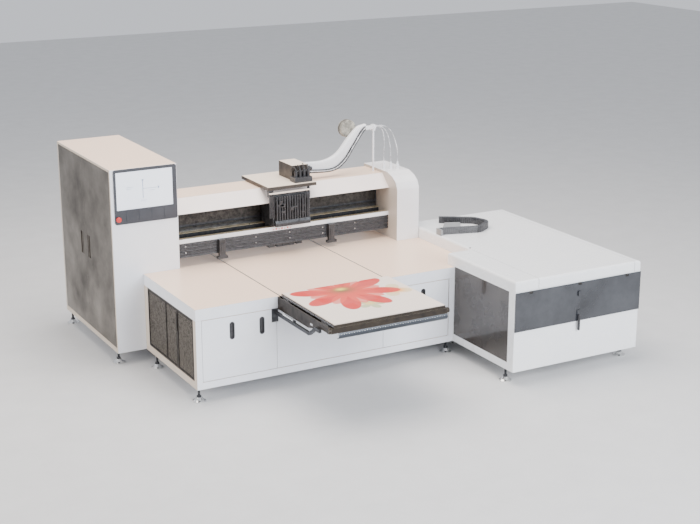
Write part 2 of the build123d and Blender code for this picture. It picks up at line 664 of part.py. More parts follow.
def carriage_blocks():
    """Four bearing blocks, grooved for the beam's rails, and the linear motor's coil."""
    blocks = []
    for z in XRAIL_ZS:
        for x in (CAR_X + 10, CAR_X1 - 80):
            mid = z + XRAIL_H / 2
            block = span(x, x + 70, PLATE_Y, BEAM_Y - 4, mid - 15, mid + 15)
            half = XRAIL_H / 2 + BEARING_FIT
            blocks.append(block - span(x - 1, x + 71, BEAM_Y - XRAIL_T - BEARING_FIT, BEAM_Y, mid - half,
                                       mid + half))
    coil = span(CAR_X + 90, CAR_X1 - 90, PLATE_Y, BEAM_Y - TRACK_H - 1, XRAIL_ZS[0] + XRAIL_H + 22,
                XRAIL_ZS[1] - 22)
    return blocks + [coil]


def carriage_yoke():
    """Two C-shaped cheeks that reach round the front of the beam cover to the tray."""
    z0, z1, y_back = CAR_Z, TRAY_Z, PLATE_Y
    inner = COVER_Z - 5
    points = [(y_back, z0), (CAR_FRONT + 12, z0), (CAR_FRONT, z0 + 20), (CAR_FRONT, z1), (FRONT_Y, z1),
              (FRONT_Y, inner), (y_back, inner)]
    face = Polygon(*points, align=None)
    return [section_x(face, x, x + YOKE_T) for x in (CAR_X - YOKE_T, CAR_X1)]


def carriage_tray():
    """Cream-topped plate over the beam cover."""
    tray = span(TRAY_X, TRAY_X + TRAY_W, CAR_FRONT, CAR_FRONT + TRAY_D, TRAY_Z, TRAY_Z + TRAY_T)
    return fillet(tray.edges().group_by(Axis.Z)[-1], 4)


TRAY_TOP = TRAY_Z + TRAY_T
INK_X, INK_Y = TRAY_X + TRAY_W - INK_BOX[0] - 10, CAR_FRONT + 130


def ink_box():
    """Sub-tank housing on the tray."""
    w, d, h = INK_BOX
    box = span(INK_X, INK_X + w, INK_Y, INK_Y + d, TRAY_TOP, TRAY_TOP + h)
    return fillet(box.edges().group_by(Axis.Z)[-1], 5)


def valve_bank():
    """Manifold and a row of round valves in front of the sub-tank housing."""
    z = TRAY_TOP
    bank = [span(INK_X - 20, INK_X + 140, INK_Y - 96, INK_Y, z, z + 42)]
    for i in range(4):
        bank.append(rod(INK_X + 5 + i * 38, INK_Y - 62, z + 42, 15, 46))
    bank.append(rod(INK_X + 20, INK_Y - 24, z + 66, 22, 100, "x"))
    return [bank[0]] + bank[1:5] + [bank[5]]


def side_pump():
    """Small pump on the right of the sub-tank housing, where the hoses arrive."""
    x, z = INK_X + INK_BOX[0], TRAY_TOP
    body = rod(x, INK_Y + 55, z + 74, 24, 46, "x")
    return body + rod(x + 46, INK_Y + 55, z + 74, 14, 16, "x")


def duct_shoe():
    """Clamp that takes the hose duct's lower end."""
    x, z = INK_X + INK_BOX[0], TRAY_TOP
    return span(x, x + 16, POST_Y - 32, POST_Y + 32, z + 12, z + 118)


SCREW_R, SCREW_Y = 4.0, PLATE_Y - 18.0
SCREW_X = CAR_X + CAR_W / 2
SCREW_ZS = (CAR_Z + 8.0, COVER_Z - 19.0)
SCREW_END = 14.0


def lift_screw():
    """Screw that raises the print head, between its two bearings."""
    z0 = SCREW_ZS[0] + SCREW_END
    return rod(SCREW_X, SCREW_Y, z0, SCREW_R, SCREW_ZS[1] - z0)


def lift_bearings():
    return [span(SCREW_X - 16, SCREW_X + 16, SCREW_Y - 5, PLATE_Y - 10, z, z + SCREW_END) for z in SCREW_ZS]


def tray_fins():
    """Dark finned heat sink under the tray's left end."""
    fins = [span(TRAY_X + 4 + i * 7, TRAY_X + 7 + i * 7, CAR_FRONT + 1, FRONT_Y, TRAY_Z - 56, TRAY_Z)
            for i in range(5)]
    bar = span(TRAY_X + 4, TRAY_X + 35, FRONT_Y - 5, FRONT_Y, TRAY_Z - 56, TRAY_Z)
    return bar + fins


# ---- print head, which rises on the carriage ----
HEAD_X0, HEAD_X1 = CAR_X + 2, CAR_X1 - 2
HEAD_TOP = TRAY_Z - HEAD_TRAVEL - 6
HEAD_Y1 = SLOT_Y0 + 9 + HEAD_D


def head_frame():
    """Plate over the slot that joins the front body, the heads and the lamps."""
    z0 = CAR_Z
    return span(HEAD_X0, HEAD_X1, FRONT_Y, HEAD_Y1, z0, z0 + 60)


def head_body():
    """Black front body with upright cooling ribs and a wider skirt."""
    z0 = CAR_Z
    body = span(HEAD_X0, HEAD_X1, CAR_FRONT + 4, FRONT_Y, z0, HEAD_TOP)
    for i in range(9):
        x = HEAD_X0 + 14 + i * 34
        body += span(x, x + 18, CAR_FRONT - 8, CAR_FRONT + 4, z0 + 40, HEAD_TOP - 45)
    return body + span(HEAD_X0, HEAD_X1, CAR_FRONT - 14, CAR_FRONT + 4, z0, z0 + 26)


def print_heads():
    """Three print heads in a row that hang through the slot."""
    x0 = (HEAD_X0 + HEAD_X1 - HEAD_W) / 2
    pitch = HEAD_W / 3
    return [span(x0 + i * pitch + 3, x0 + (i + 1) * pitch - 3, SLOT_Y0 + 9, HEAD_Y1, BED_Z1 + PRINT_GAP, CAR_Z)
            for i in range(3)]


def cure_lamps():
    """UV lamp on each side of the heads."""
    lamps = []
    for x in (HEAD_X0 + 6, HEAD_X1 - 6 - LAMP_W):
        lamps.append(span(x, x + LAMP_W, SLOT_Y0 + 9, HEAD_Y1, BED_Z1 + PRINT_GAP + 2, CAR_Z))
    return lamps


def lift_nut():
    """Nut on the back of the head's frame, round the lift screw."""
    z0 = SCREW_ZS[0] + SCREW_END + 2
    nut = span(SCREW_X - 12, SCREW_X + 12, HEAD_Y1, PLATE_Y - 10.5, z0, z0 + 20)
    return nut - rod(SCREW_X, SCREW_Y, z0 - 1, SCREW_R + BEARING_FIT, 22)


# ---- hose run ----
def hose_post():
    """Post on the beam cover with an arm that holds the round hose drum."""
    z = POST_Z
    post = rod(POST_X, POST_Y, COVER_TOP, POST_R, z - COVER_TOP)
    post += span(POST_X - 13, POST_X + 13, POST_Y - 13, POST_Y + 60, z, z + 22)
    return post + span(DRUM_X, POST_X, POST_Y + 42, POST_Y + 60, z, z + 22)


DRUM_X, DRUM_Z = 1985.0, 1672.0


def hose_drum():
    """Rounded guide drum behind the upper end of the duct."""
    y = POST_Y + DUCT_T / 2 + SLIDE_GAP
    drum = rod(DRUM_X, y, DRUM_Z, DRUM_R, DRUM_T, "y")
    drum = fillet(drum.edges(), 16)
    hole = span(DRUM_X - 1, POST_X, POST_Y + 42, POST_Y + 60, POST_Z, POST_Z + 22)
    return drum - hole


def hose_clamp():
    """White block on the post where the hoses fan out."""
    z = POST_Z + 22
    half = CLAMP_HALF
    clamp = span(POST_X - half, POST_X + half, POST_Y - 24, POST_Y + 24, z, z + 30)
    return clamp + span(DUCT_END_X + 1, POST_X - half, POST_Y - 16, POST_Y + 16, z - 4, z + 22)


DUCT_END_X, CLAMP_HALF = 2132.0, 14.0


def hose_duct():
    """White flexible duct that sweeps from the carriage up to the post, broad side to the front."""
    x0, z0 = INK_X + INK_BOX[0] + 16, TRAY_TOP + 18
    upper = [(x0, z0 + 96), (1724, 1431), (1852, 1482), (1965, 1607), (2050, 1684), (DUCT_END_X, 1706)]
    lower = [(DUCT_END_X, 1660), (2095, 1623), (2005, 1502), (1924, 1392), (1803, 1330), (x0, z0)]
    edges = [Spline(*upper), Line(upper[-1], lower[0]), Spline(*lower), Line(lower[-1], upper[0])]
    face = make_face(Curve() + edges)
    return extrude(Plane.XZ.offset(-(POST_Y - DUCT_T / 2)) * face, amount=DUCT_T, dir=(0, 1, 0))


def tube(points, d, name):
    """A round tube on straight runs joined by arcs as large as the runs allow."""
    pts = [Vector(*p) for p in points]
    runs = [(b - a) for a, b in zip(pts, pts[1:])]
    radii = []
    for a, b in zip(runs, runs[1:]):
        turn = radians(a.get_angle(b))
        radii.append(0.45 * min(a.length, b.length) / tan(turn / 2))
    path = FilletPolyline(*pts, radius=radii)
    shape = sweep(Plane(origin=pts[0], z_dir=runs[0]) * Circle(d / 2), path=path)
    section = pi * d * d / 4
    print(name, "radii", [round(r) for r in radii], "length", round(path.length),
          "volume ratio", round(shape.volume / (section * path.length), 4))
    return shape


FIT_R, FIT_H = 13.0, 62.0
HOSE_ENDS = ((2296.0, 1205.0), (2342.0, 1165.0), (2396.0, 1140.0))
CLAMP_X, CLAMP_Z = POST_X + CLAMP_HALF, POST_Z + 37.0
HOSE_TOP = COLUMN_TOP + FIT_H


def hose_fittings():
    """Hose fittings that stand on the right column."""
    fittings = []
    for x, y in HOSE_ENDS:
        body = rod(x, y, COLUMN_TOP, FIT_R, FIT_H * 0.7)
        fittings.append(body + rod(x, y, COLUMN_TOP + FIT_H * 0.7, FIT_R * 0.6, FIT_H * 0.3))
    return fittings


TUBE_ROUTES = {
    "left": ((CLAMP_X, 1236, CLAMP_Z), (2247, 1236, CLAMP_Z), (2266, 1234, 1672), (2282, 1231, 1659),
             (2294, 1227, 1640), (2301, 1222, 1612), (2304, 1216, 1572), (2303, 1210, 1520), (2299, 1206, 1468),
             (2296, 1205, 1416), (2296, 1205, HOSE_TOP)),
    "middle": ((CLAMP_X, 1250, CLAMP_Z), (2254, 1250, CLAMP_Z), (2283, 1247, 1673), (2308, 1240, 1659),
               (2327, 1230, 1636), (2339, 1217, 1603), (2345, 1202, 1560), (2347, 1186, 1510), (2346, 1173, 1462),
               (2342, 1165, 1415), (2342, 1165, HOSE_TOP)),
    "right": ((CLAMP_X, 1264, CLAMP_Z), (2264, 1264, CLAMP_Z), (2306, 1261, 1676), (2346, 1252, 1663),
              (2375, 1237, 1637), (2392, 1216, 1598), (2399, 1192, 1552), (2402, 1168, 1503), (2401, 1150, 1456),
              (2396, 1140, 1411), (2396, 1140, HOSE_TOP)),
}


# ---- control tower ----
TOWER_Y1 = TOWER_Y + TOWER_D
DOOR_Z0, DOOR_Z1 = FLOOR_GAP + TOWER_SILL, TOWER_Z - TOWER_BORDER
DOOR_MID = TOWER_Y + TOWER_D * 0.51
SIDE_BORDER = 20.0


def tower_casing():
    """Tall shell, open on its left side for the doors."""
    points = [(TOWER_X0, TOWER_Y), (TOWER_X1, TOWER_Y), (TOWER_X1, TOWER_Y1), (TOWER_X0, TOWER_Y1)]
    shell = footprint(points, FLOOR_GAP, TOWER_Z)
    shell = fillet(shell.edges().group_by(Axis.Z)[-1], 6)
    t = SHEET
    shell -= span(TOWER_X0 + t, TOWER_X1 - t, TOWER_Y + t, TOWER_Y1 - t, FLOOR_GAP + t, TOWER_Z - t)
    return shell - span(TOWER_X0 - 1, TOWER_X0 + t + 1, TOWER_Y + SIDE_BORDER, TOWER_Y1 - SIDE_BORDER,
                        DOOR_Z0, DOOR_Z1)


def tower_door_span(front):
    """Lowest and highest Y of one side door."""
    if front:
        return TOWER_Y + SIDE_BORDER + SEAM, DOOR_MID - SEAM / 2
    return DOOR_MID + SEAM / 2, TOWER_Y1 - SIDE_BORDER - SEAM


def tower_pin_y(front):
    y0, y1 = tower_door_span(front)
    return y0 + DOOR_T / 2 if front else y1 - DOOR_T / 2


HANDLE_Z, HANDLE_H, HANDLE_W, HANDLE_D = 850.0, 200.0, 72.0, 16.0


def tower_handle_y(front):
    return DOOR_MID - 72.0 if front else DOOR_MID + 92.0


def tower_door(front):
    y0, y1 = tower_door_span(front)
    door = span(TOWER_X0, TOWER_X0 + DOOR_T, y0, y1, DOOR_Z0 + SEAM, DOOR_Z1 - SEAM)
    hinge_y = y0 if front else y1
    edges = [e for e in door.edges().filter_by(Axis.Z) if abs(e.center().Y - hinge_y) < 0.5]
    door = fillet(edges, DOOR_ROUND)
    rim = PANEL_FOLD
    door -= span(TOWER_X0 + SHEET, TOWER_X0 + DOOR_T + 1, y0 + rim, y1 - rim, DOOR_Z0 + SEAM + rim,
                 DOOR_Z1 - SEAM - rim)
    y, h, w = tower_handle_y(front), HANDLE_H / 2, HANDLE_W / 2
    door -= span(TOWER_X0 - 1, TOWER_X0 + SHEET + 1, y - w, y + w, HANDLE_Z - h, HANDLE_Z + h)
    for z in (DOOR_Z0 + SEAM - 1, DOOR_Z1 - SEAM - PIN_DEPTH):
        if z > DOOR_Z0 + rim:
            z = DOOR_Z1 - SEAM - rim - 1
        door -= rod(TOWER_X0 + DOOR_T / 2, tower_pin_y(front), z, PIN_R + PIN_FIT, rim + 2)
    return door


def tower_pull(front):
    """Recessed pull: a cup with a bar across its free edge."""
    y, h, w = tower_handle_y(front), HANDLE_H / 2, HANDLE_W / 2
    x = TOWER_X0
    cup = span(x, x + HANDLE_D, y - w, y + w, HANDLE_Z - h, HANDLE_Z + h)
    cup -= span(x - 1, x + HANDLE_D - 2, y - w + 5, y + w - 5, HANDLE_Z - h + 5, HANDLE_Z + h - 5)
    side = 1 if front else -1
    return cup + span(x, x + 3, y + side * 8 - 6, y + side * 8 + 6, HANDLE_Z - h + 4, HANDLE_Z + h - 4)


def tower_door_pins():
    pins = []
    for front in (True, False):
        x, y, floor = TOWER_X0 + DOOR_T / 2, tower_pin_y(front), FLOOR_GAP + SHEET
        pins.append(rod(x, y, floor, PIN_R, DOOR_Z0 + SEAM + PANEL_FOLD - 2 - floor))
        top = DOOR_Z1 - SEAM - PANEL_FOLD + 2
        pins.append(rod(x, y, top, PIN_R, TOWER_Z - SHEET - top))
    return pins


BEZEL_X0 = TOWER_X0 + 27.0
BEZEL_Z0 = TOWER_Z - BEZEL_H - 3.0
SCREEN_X0, SCREEN_Z0 = BEZEL_X0 + 18.0, BEZEL_Z0 + 114.0


def screen_bezel():
    """Rounded dark control panel with a recess for the screen and grooves between its keys."""
    y = TOWER_Y - BEZEL_T
    bezel = span(BEZEL_X0, BEZEL_X0 + BEZEL_W, y, TOWER_Y, BEZEL_Z0, BEZEL_Z0 + BEZEL_H)
    bezel = fillet(bezel.edges().filter_by(Axis.Y), 16)
    bezel -= span(SCREEN_X0, SCREEN_X0 + SCREEN_W, y - 1, y + SCREEN_T, SCREEN_Z0, SCREEN_Z0 + SCREEN_H)
    for share in (0.187, 0.432, 0.8):
        x = BEZEL_X0 + BEZEL_W * share
        bezel -= span(x - 1, x + 1, y - 1, y + 1.5, BEZEL_Z0 + 8, SCREEN_Z0 - 12)
    return bezel - rod(STOP_X, y - 1, STOP_Z, STOP_NECK + 1, 6, "y")


STOP_X, STOP_Z, STOP_NECK = BEZEL_X0 + 24.0, BEZEL_Z0 + 45.0, 9.0
STOP_PRESS = 4.0


def display_screen():
    y = TOWER_Y - BEZEL_T
    pane = span(SCREEN_X0, SCREEN_X0 + SCREEN_W, y, y + SCREEN_T, SCREEN_Z0, SCREEN_Z0 + SCREEN_H)
    return pane


def stop_button():
    """Red mushroom button on a stem that slides in the bezel."""
    y = TOWER_Y - BEZEL_T
    stem = rod(STOP_X, y - STOP_H + 6, STOP_Z, STOP_NECK, STOP_H - 5.5, "y")
    cap = rod(STOP_X, y - STOP_H - 4, STOP_Z, STOP_R, STOP_H - 6, "y")
    return fillet((stem + cap).edges().group_by(Axis.Y)[0], 4)


def stop_collar():
    y = TOWER_Y - BEZEL_T
    ring = rod(STOP_X, y - 4, STOP_Z, STOP_R - 3, 4, "y")
    return ring - rod(STOP_X, y - 5, STOP_Z, STOP_NECK + 0.6, 6, "y")


def control_plate():
    """Mounting plate across the tower, behind the doors."""
    x = TOWER_X1 - SHEET - 120 - 40
    return span(x, x + 3, TOWER_Y + 40, TOWER_Y1 - 40, FLOOR_GAP + SHEET, TOWER_Z - 120)


def power_supplies():
    x = TOWER_X1 - SHEET - 160
    return [span(x - 60, x, TOWER_Y + 120 + i * 240, TOWER_Y + 320 + i * 240, 330, 440) for i in range(4)]


def motor_drives():
    x = TOWER_X1 - SHEET - 160
    return [span(x - 130, x, TOWER_Y + 130 + i * 90, TOWER_Y + 185 + i * 90, 620, 790) for i in range(6)]


def control_computer():
    x = TOWER_X1 - SHEET - 160
    return span(x - 110, x, TOWER_Y + 760, TOWER_Y + 1160, 900, 1300)


# ---- curing cabinet ----
def box_outline():
    """The cabinet seen from above: the front part is wider than the rear."""
    return [(BASE_W + SLIDE_GAP, BOX_Y0), (BOX_X1, BOX_Y0), (BOX_X1, BOX_Y1), (STRIP_X, BOX_Y1),
            (STRIP_X, STRIP_Y), (BASE_W + SLIDE_GAP, STRIP_Y)]


BOX_LIP_Z = BOX_Z - BOX_LIP
FLAP_Z0, FLAP_Z1 = BOX_LIP_Z - FLAP_H, BOX_LIP_Z
WINDOW_Y0, WINDOW_Z0 = BOX_Y0 + 80.0, FLOOR_GAP + 60.0


def box_casing():
    """Lower shell with openings for the flap and the smoked side window."""
    shell = open_box(box_outline(), FLOOR_GAP, BOX_LIP_Z, SHEET)
    shell -= span(BASE_W + SLIDE_GAP + 14, BOX_X1 - 14, BOX_Y0 - 1, BOX_Y0 + SHEET + 1, FLAP_Z0 + 12,
                  FLAP_PIN_Z - LUG_H)
    return shell - span(BASE_W, BASE_W + SLIDE_GAP + SHEET + 1, WINDOW_Y0, -6, WINDOW_Z0, BOX_LIP_Z - 9)


def side_window():
    """Smoked panel set in the left side."""
    x = BASE_W + SLIDE_GAP
    return span(x + 0.5, x + SHEET, WINDOW_Y0 + 0.5, -6.5, WINDOW_Z0 + 0.5, BOX_LIP_Z - 9.5)


LID_SEAM_X1 = BOX_X1 - 57.0


def box_lids():
    """The top cover in three pieces: left strip, wide middle and narrow right strip."""
    outer = footprint(box_outline(), BOX_LIP_Z, BOX_Z)
    outer = fillet(outer.edges().group_by(Axis.Z)[-1], LID_ROUND)
    inner = extrude(Plane.XY.offset(BOX_LIP_Z - 1) * inset(box_outline(), TOP_SHEET),
                    amount=BOX_LIP - TOP_SHEET + 1, dir=(0, 0, 1))
    inner = fillet(inner.edges().group_by(Axis.Z)[-1], LID_ROUND - TOP_SHEET)
    shell = outer - inner
    cuts = ((BASE_W, STRIP_X - SEAM, STRIP_Y + 1), (STRIP_X, LID_SEAM_X1 - SEAM, BOX_Y1 + 1),
            (LID_SEAM_X1, BOX_X1 + 1, BOX_Y1 + 1))
    return [shell & span(x0, x1, BOX_Y0 - 1, y1, BOX_LIP_Z - 1, BOX_Z + 1) for x0, x1, y1 in cuts]


FLAP_PIN_R = 2.5
FLAP_Y0 = BOX_Y0 - FLAP_T - SLIDE_GAP
FLAP_TOP = FLAP_Z1 - SEAM
FLAP_PIN_Y, FLAP_PIN_Z = FLAP_Y0 + FLAP_T / 2, FLAP_TOP - FLAP_T / 2
FLAP_HINGE_XS = (BASE_W + 140.0, BASE_W + BOX_W / 2, BOX_X1 - 140.0)
LUG_W, LUG_H, FLAP_PIN_L = 30.0, 24.0, 22.0


def cure_flap():
    """Glossy dark flap across the front, hung from its rounded top edge."""
    x0, x1 = BASE_W + SLIDE_GAP, BOX_X1
    flap = span(x0, x1, FLAP_Y0, FLAP_Y0 + FLAP_T, FLAP_Z0, FLAP_TOP)
    top = flap.edges().filter_by(Axis.X).group_by(Axis.Z)[-1]
    flap = fillet(top, FLAP_T / 2 - 0.1)
    for x in FLAP_HINGE_XS:
        half = LUG_W / 2 + 1
        flap -= span(x - half, x + half, FLAP_Y0 - 1, BOX_Y0, FLAP_PIN_Z - LUG_H / 2 - 2, FLAP_TOP + 1)
        reach = LUG_W / 2 + FLAP_PIN_L + 2
        flap -= rod(x - reach, FLAP_PIN_Y, FLAP_PIN_Z, FLAP_PIN_R + PIN_FIT, 2 * reach, "x")
    return flap


def flap_hinges():
    """Hinge lugs on the cabinet's front, each with a pin that reaches into the flap on both sides."""
    hinges = []
    for x in FLAP_HINGE_XS:
        lug = span(x - LUG_W / 2, x + LUG_W / 2, FLAP_Y0 + 1, BOX_Y0, FLAP_PIN_Z - LUG_H / 2, FLAP_PIN_Z + 4)
        reach = LUG_W / 2 + FLAP_PIN_L
        hinges.append(lug + rod(x - reach, FLAP_PIN_Y, FLAP_PIN_Z, FLAP_PIN_R, 2 * reach, "x"))
    return hinges


LATCH_X, LATCH_Z = BASE_W + BOX_W / 2 - 5, FLAP_Z0 + 46.0
LATCH_Y = FLAP_Y0 - 6.0
LATCH_T, LATCH_GAP = 11.5, 0.5     # lever thickness and its gap to the boss


def latch_base():
    """Boss with the pin that the latch turns on, and the keeper above it."""
    boss = span(LATCH_X - 14, LATCH_X + 14, LATCH_Y, FLAP_Y0, LATCH_Z - 30, LATCH_Z + 44)
    reach = LATCH_T - LATCH_GAP
    boss += rod(LATCH_X, LATCH_Y - reach, LATCH_Z, PIN_R, reach, "y")
    keeper = span(LATCH_X - 12, LATCH_X + 12, FLAP_Y0 - 12, FLAP_Y0, FLAP_Z1 - 110, FLAP_Z1 - 70)
    return [boss, keeper]


def flap_latch():
    """Black lever that turns on its boss and hangs past the flap's lower edge."""
    y1 = LATCH_Y - LATCH_GAP
    lever = span(LATCH_X - 9, LATCH_X + 9, y1 - LATCH_T, y1, FLAP_Z0 - 75, LATCH_Z + 10)
    lever = fillet(lever.edges().filter_by(Axis.Y), 7)
    return lever - rod(LATCH_X, y1 - LATCH_T - 1, LATCH_Z, PIN_R + PIN_FIT, LATCH_T + 2, "y")


CHAIN_W, CHAIN_H, CHAIN_Y = 30.0, 56.0, 590.0


def chain_path():
    """Plan of the cable chain: out to the right, round a U and back towards the rear."""
    x, y = STRIP_X + 30.0, CHAIN_Y
    return FilletPolyline((x, y), (x + 330, y - 95), (x + 500, y + 15), (x + 440, y + 175), (x + 190, y + 335),
                          radius=[95, 95, 80])


def cable_chain():
    """Cable chain lying on its side on the lid."""
    return extrude(Plane.XY.offset(BOX_Z) * trace(chain_path(), CHAIN_W), amount=CHAIN_H, dir=(0, 0, 1))


def chain_bracket():
    """Angle bracket at the chain's front end."""
    x, y = STRIP_X + 6.0, CHAIN_Y
    return span(x, x + 16, y - 38, y + 38, BOX_Z, BOX_Z + 50) + span(x, x + 54, y + 24, y + 38, BOX_Z, BOX_Z + 50)


def chain_stop():
    """Grey wedge plate inside the chain's bend."""
    x, y = STRIP_X + 145.0, CHAIN_Y + 151.0
    return footprint([(x, y), (x + 130, y - 72), (x + 218, y + 61), (x + 90, y + 110)], BOX_Z, BOX_Z + 18)


RACK_SHELVES, RACK_T = 3, 4.0
RACK_Z0, RACK_PITCH = FLAP_Z0 + 20.0, 95.0


def cure_rack():
    """Side frames with shelves between them, and heating tubes under the roof."""
    x0, x1 = STRIP_X + 60, BOX_X1 - 60
    y0, y1 = BOX_Y0 + 60, BOX_Y1 - 120
    pieces = [span(x, x + RACK_T, y0, y1, FLOOR_GAP + SHEET, BOX_LIP_Z + 20) for x in (x0, x1 - RACK_T)]
    for k in range(RACK_SHELVES):
        z = RACK_Z0 + k * RACK_PITCH
        pieces.append(span(x0 + RACK_T, x1 - RACK_T, y0, y1, z, z + RACK_T))
    for k in range(6):
        y = y0 + 150 + k * (y1 - y0 - 300) / 5
        pieces.append(rod(x0 + RACK_T, y, BOX_LIP_Z, 10, x1 - x0 - 2 * RACK_T, "x"))
    return pieces


# ---- feet ----
def foot_places():
    """XY places of the levelling feet under the three cabinets."""
    e = 35.0
    base = [(e, e + 25), (e - 13, TOWER_Y - 165), (BASE_W - 22, e + 36), (STRIP_X - 2 * e, BASE_D - e),
            (STRIP_X - 2 * e, STRIP_Y + 2 * e + 60), (TOWER_X1 + 2 * e + 30, BASE_D - e), (BASE_W / 2, BASE_D / 2)]
    tower = [(TOWER_X0 + e, TOWER_Y + 95), (TOWER_X0 + e - 8, TOWER_Y1 - 2 * e), (TOWER_X1 - 2 * e, TOWER_Y + 95),
             (TOWER_X1 - 2 * e, TOWER_Y1 - 2 * e)]
    box = [(BASE_W + 32, BOX_Y0 + 135), (BOX_X1 - 38, BOX_Y0 + 150), (BOX_X1 - 38, BOX_Y1 - 2 * e),
           (STRIP_X + 3 * e, BOX_Y1 - 2 * e)]
    return base + tower + box


def foot_pads():
    """Bright bell-shaped pads."""
    pads = []
    for x, y in foot_places():
        points = [(0, 0), (PAD_R, 0), (PAD_R, 8), (PAD_R * 0.72, 15), (PAD_R * 0.42, PAD_H), (0, PAD_H)]
        face = make_face(Polyline(*points, close=True))
        pads.append(Pos(x, y, 0) * revolve(Plane.XZ * face, axis=Axis.Z))
    return pads


def foot_studs():
    studs = []
    for x, y in foot_places():
        stud = rod(x, y, PAD_H, STUD_R, FLOOR_GAP - PAD_H) + rod(x, y, PAD_H, NUT_R, NUT_H)
        studs.append(stud + rod(x, y, FLOOR_GAP - 6, NUT_R + 8, 6))
    return studs


# ---- everything, by node name ----
def base_nodes():
    return {
        "base_casing": [base_casing()], "table_top": [table_top(), side_cover()],
        "base_frame": [front_header(), vent_header(), *inner_posts(), *rail_beams(), *beam_legs()],
        "front_panel": [front_panel()],
        "front_door_left": [front_door(0), *front_door_pulls(0)],
        "front_door_right": [front_door(1), *front_door_pulls(1)],
        "vent_door": [vent_door(), vent_mesh(*VENT_DOOR_YS, PANEL_FOLD)],
        "vent_panel": [vent_panel(), *vent_panel_infill()],
        "hinge_pins": front_door_pins() + vent_pins() + tower_door_pins() + flap_hinges(),
        "ink_tanks": ink_tanks(), "vacuum_pump": [vacuum_pump()],
        "linear_rails": [*bed_rails(), bed_track(), *beam_rails(), beam_track()],
    }


def bed_nodes():
    return {
        "bed_plate": [bed_plate()], "print_board": [print_board()], "bed_blocks": bed_blocks() + bed_webs(),
        "extension_frame": [*extension_sides(), extension_shelf(), *front_bar()],
        "grab_bar": [grab_bar(), *grab_hangers()],
        "stay_arms": arm_brackets() + stay_arms() + arm_damper_caps(), "arm_dampers": arm_dampers(),
    }


def gantry_nodes():
    return {
        "x_beam": [x_beam(), *beam_end_plates(), *cover_ribs()], "column_posts": column_posts(),
        "right_column": [right_column()], "beam_cover": [beam_cover()],
        "guard_beam": [guard_beam(), rear_apron()], "guard_strip": [guard_strip()],
        "guard_ledges": guard_ledges(), "crash_sensors": crash_sensors(),
        "hose_post": [hose_post(), hose_clamp()], "hose_drum": [hose_drum()], "hose_fittings": hose_fittings(),
        **{f"hose_{name}": [tube(route, TUBE_D, name)] for name, route in TUBE_ROUTES.items()},
    }


def carriage_nodes():
    return {
        "carriage_plate": [carriage_plate(), *carriage_blocks(), *lift_bearings()],
        "carriage_yoke": carriage_yoke() + [tray_fins()], "carriage_tray": [carriage_tray()],
        "ink_box": [ink_box()], "valve_bank": valve_bank() + [side_pump(), duct_shoe()],
        "lift_screw": [lift_screw()], "head_body": [head_frame(), head_body(), lift_nut()],
        "print_heads": print_heads(), "cure_lamps": cure_lamps(), "hose_duct": [hose_duct()],
    }


def tower_nodes():
    return {
        "tower_casing": [tower_casing()],
        "tower_door_front": [tower_door(True), tower_pull(True)],
        "tower_door_rear": [tower_door(False), tower_pull(False)],
        "screen_bezel": [screen_bezel(), stop_collar()], "display_screen": [display_screen()],
        "stop_button": [stop_button()],
        "control_gear": [control_plate(), *power_supplies(), *motor_drives(), control_computer()],
    }


def box_nodes():
    return {
        "box_casing": [box_casing()], "side_window": [side_window()], "box_lid": box_lids(),
        "cure_flap": [cure_flap(), *latch_base()], "flap_latch": [flap_latch()],
        "cable_chain": [cable_chain()], "lid_fittings": [chain_bracket(), chain_stop()],
        "cure_rack": cure_rack(), "foot_pads": foot_pads(), "foot_studs": foot_studs(),
    }


def all_nodes():
    """Every node's separate solids, in the layout frame."""
    return {**base_nodes(), **bed_nodes(), **gantry_nodes(), **carriage_nodes(), **tower_nodes(), **box_nodes()}


def as_one(pieces, place=Location()):
    """A node's separate solids as one compound."""
    return Compound([solid.moved(place) for piece in pieces for solid in piece.solids()])


made = all_nodes()
whole = as_one([solid for pieces in made.values() for solid in pieces]).bounding_box()
SHIFT = Location((-(whole.min.X + whole.max.X) / 2, -(whole.min.Y + whole.max.Y) / 2, 0))
print("shift", SHIFT, "size", whole.size, "nodes", len(made))

os.makedirs("parts", exist_ok=True)
for node, pieces in made.items():
    export_step(as_one(pieces, SHIFT), f"parts/{node}.step")
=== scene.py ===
# %% [markdown]
# # A flatbed UV printer, dressed in Blender
# The imported CAD model already holds every shape that moves or carries load. This lesson adds what a
# visitor sees first: paint, dark steel with painted reflections, perforated sheet, tubes, a printed board
# and many small pieces. All places are in metres, in the CAD model's own frame, and come from its boxes.

import math

import bmesh
import bpy
import numpy as np
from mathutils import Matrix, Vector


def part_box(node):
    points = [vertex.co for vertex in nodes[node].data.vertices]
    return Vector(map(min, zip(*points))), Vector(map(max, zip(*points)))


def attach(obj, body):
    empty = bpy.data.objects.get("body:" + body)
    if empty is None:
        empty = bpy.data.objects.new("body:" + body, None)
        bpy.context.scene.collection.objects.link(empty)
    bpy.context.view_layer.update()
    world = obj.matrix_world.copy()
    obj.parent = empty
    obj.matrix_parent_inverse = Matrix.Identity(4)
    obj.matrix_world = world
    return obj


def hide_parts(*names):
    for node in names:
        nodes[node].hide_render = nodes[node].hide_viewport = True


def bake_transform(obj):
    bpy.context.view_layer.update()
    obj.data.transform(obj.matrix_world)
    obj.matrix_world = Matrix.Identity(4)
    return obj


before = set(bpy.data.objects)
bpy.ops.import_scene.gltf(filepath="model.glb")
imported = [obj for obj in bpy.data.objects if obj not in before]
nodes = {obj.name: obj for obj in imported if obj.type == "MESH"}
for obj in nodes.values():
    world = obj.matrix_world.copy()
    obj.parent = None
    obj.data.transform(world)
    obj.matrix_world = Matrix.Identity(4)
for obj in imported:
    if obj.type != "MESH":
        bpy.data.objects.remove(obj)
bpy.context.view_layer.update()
scene = bpy.context.scene
print("CAD nodes:", len(nodes))


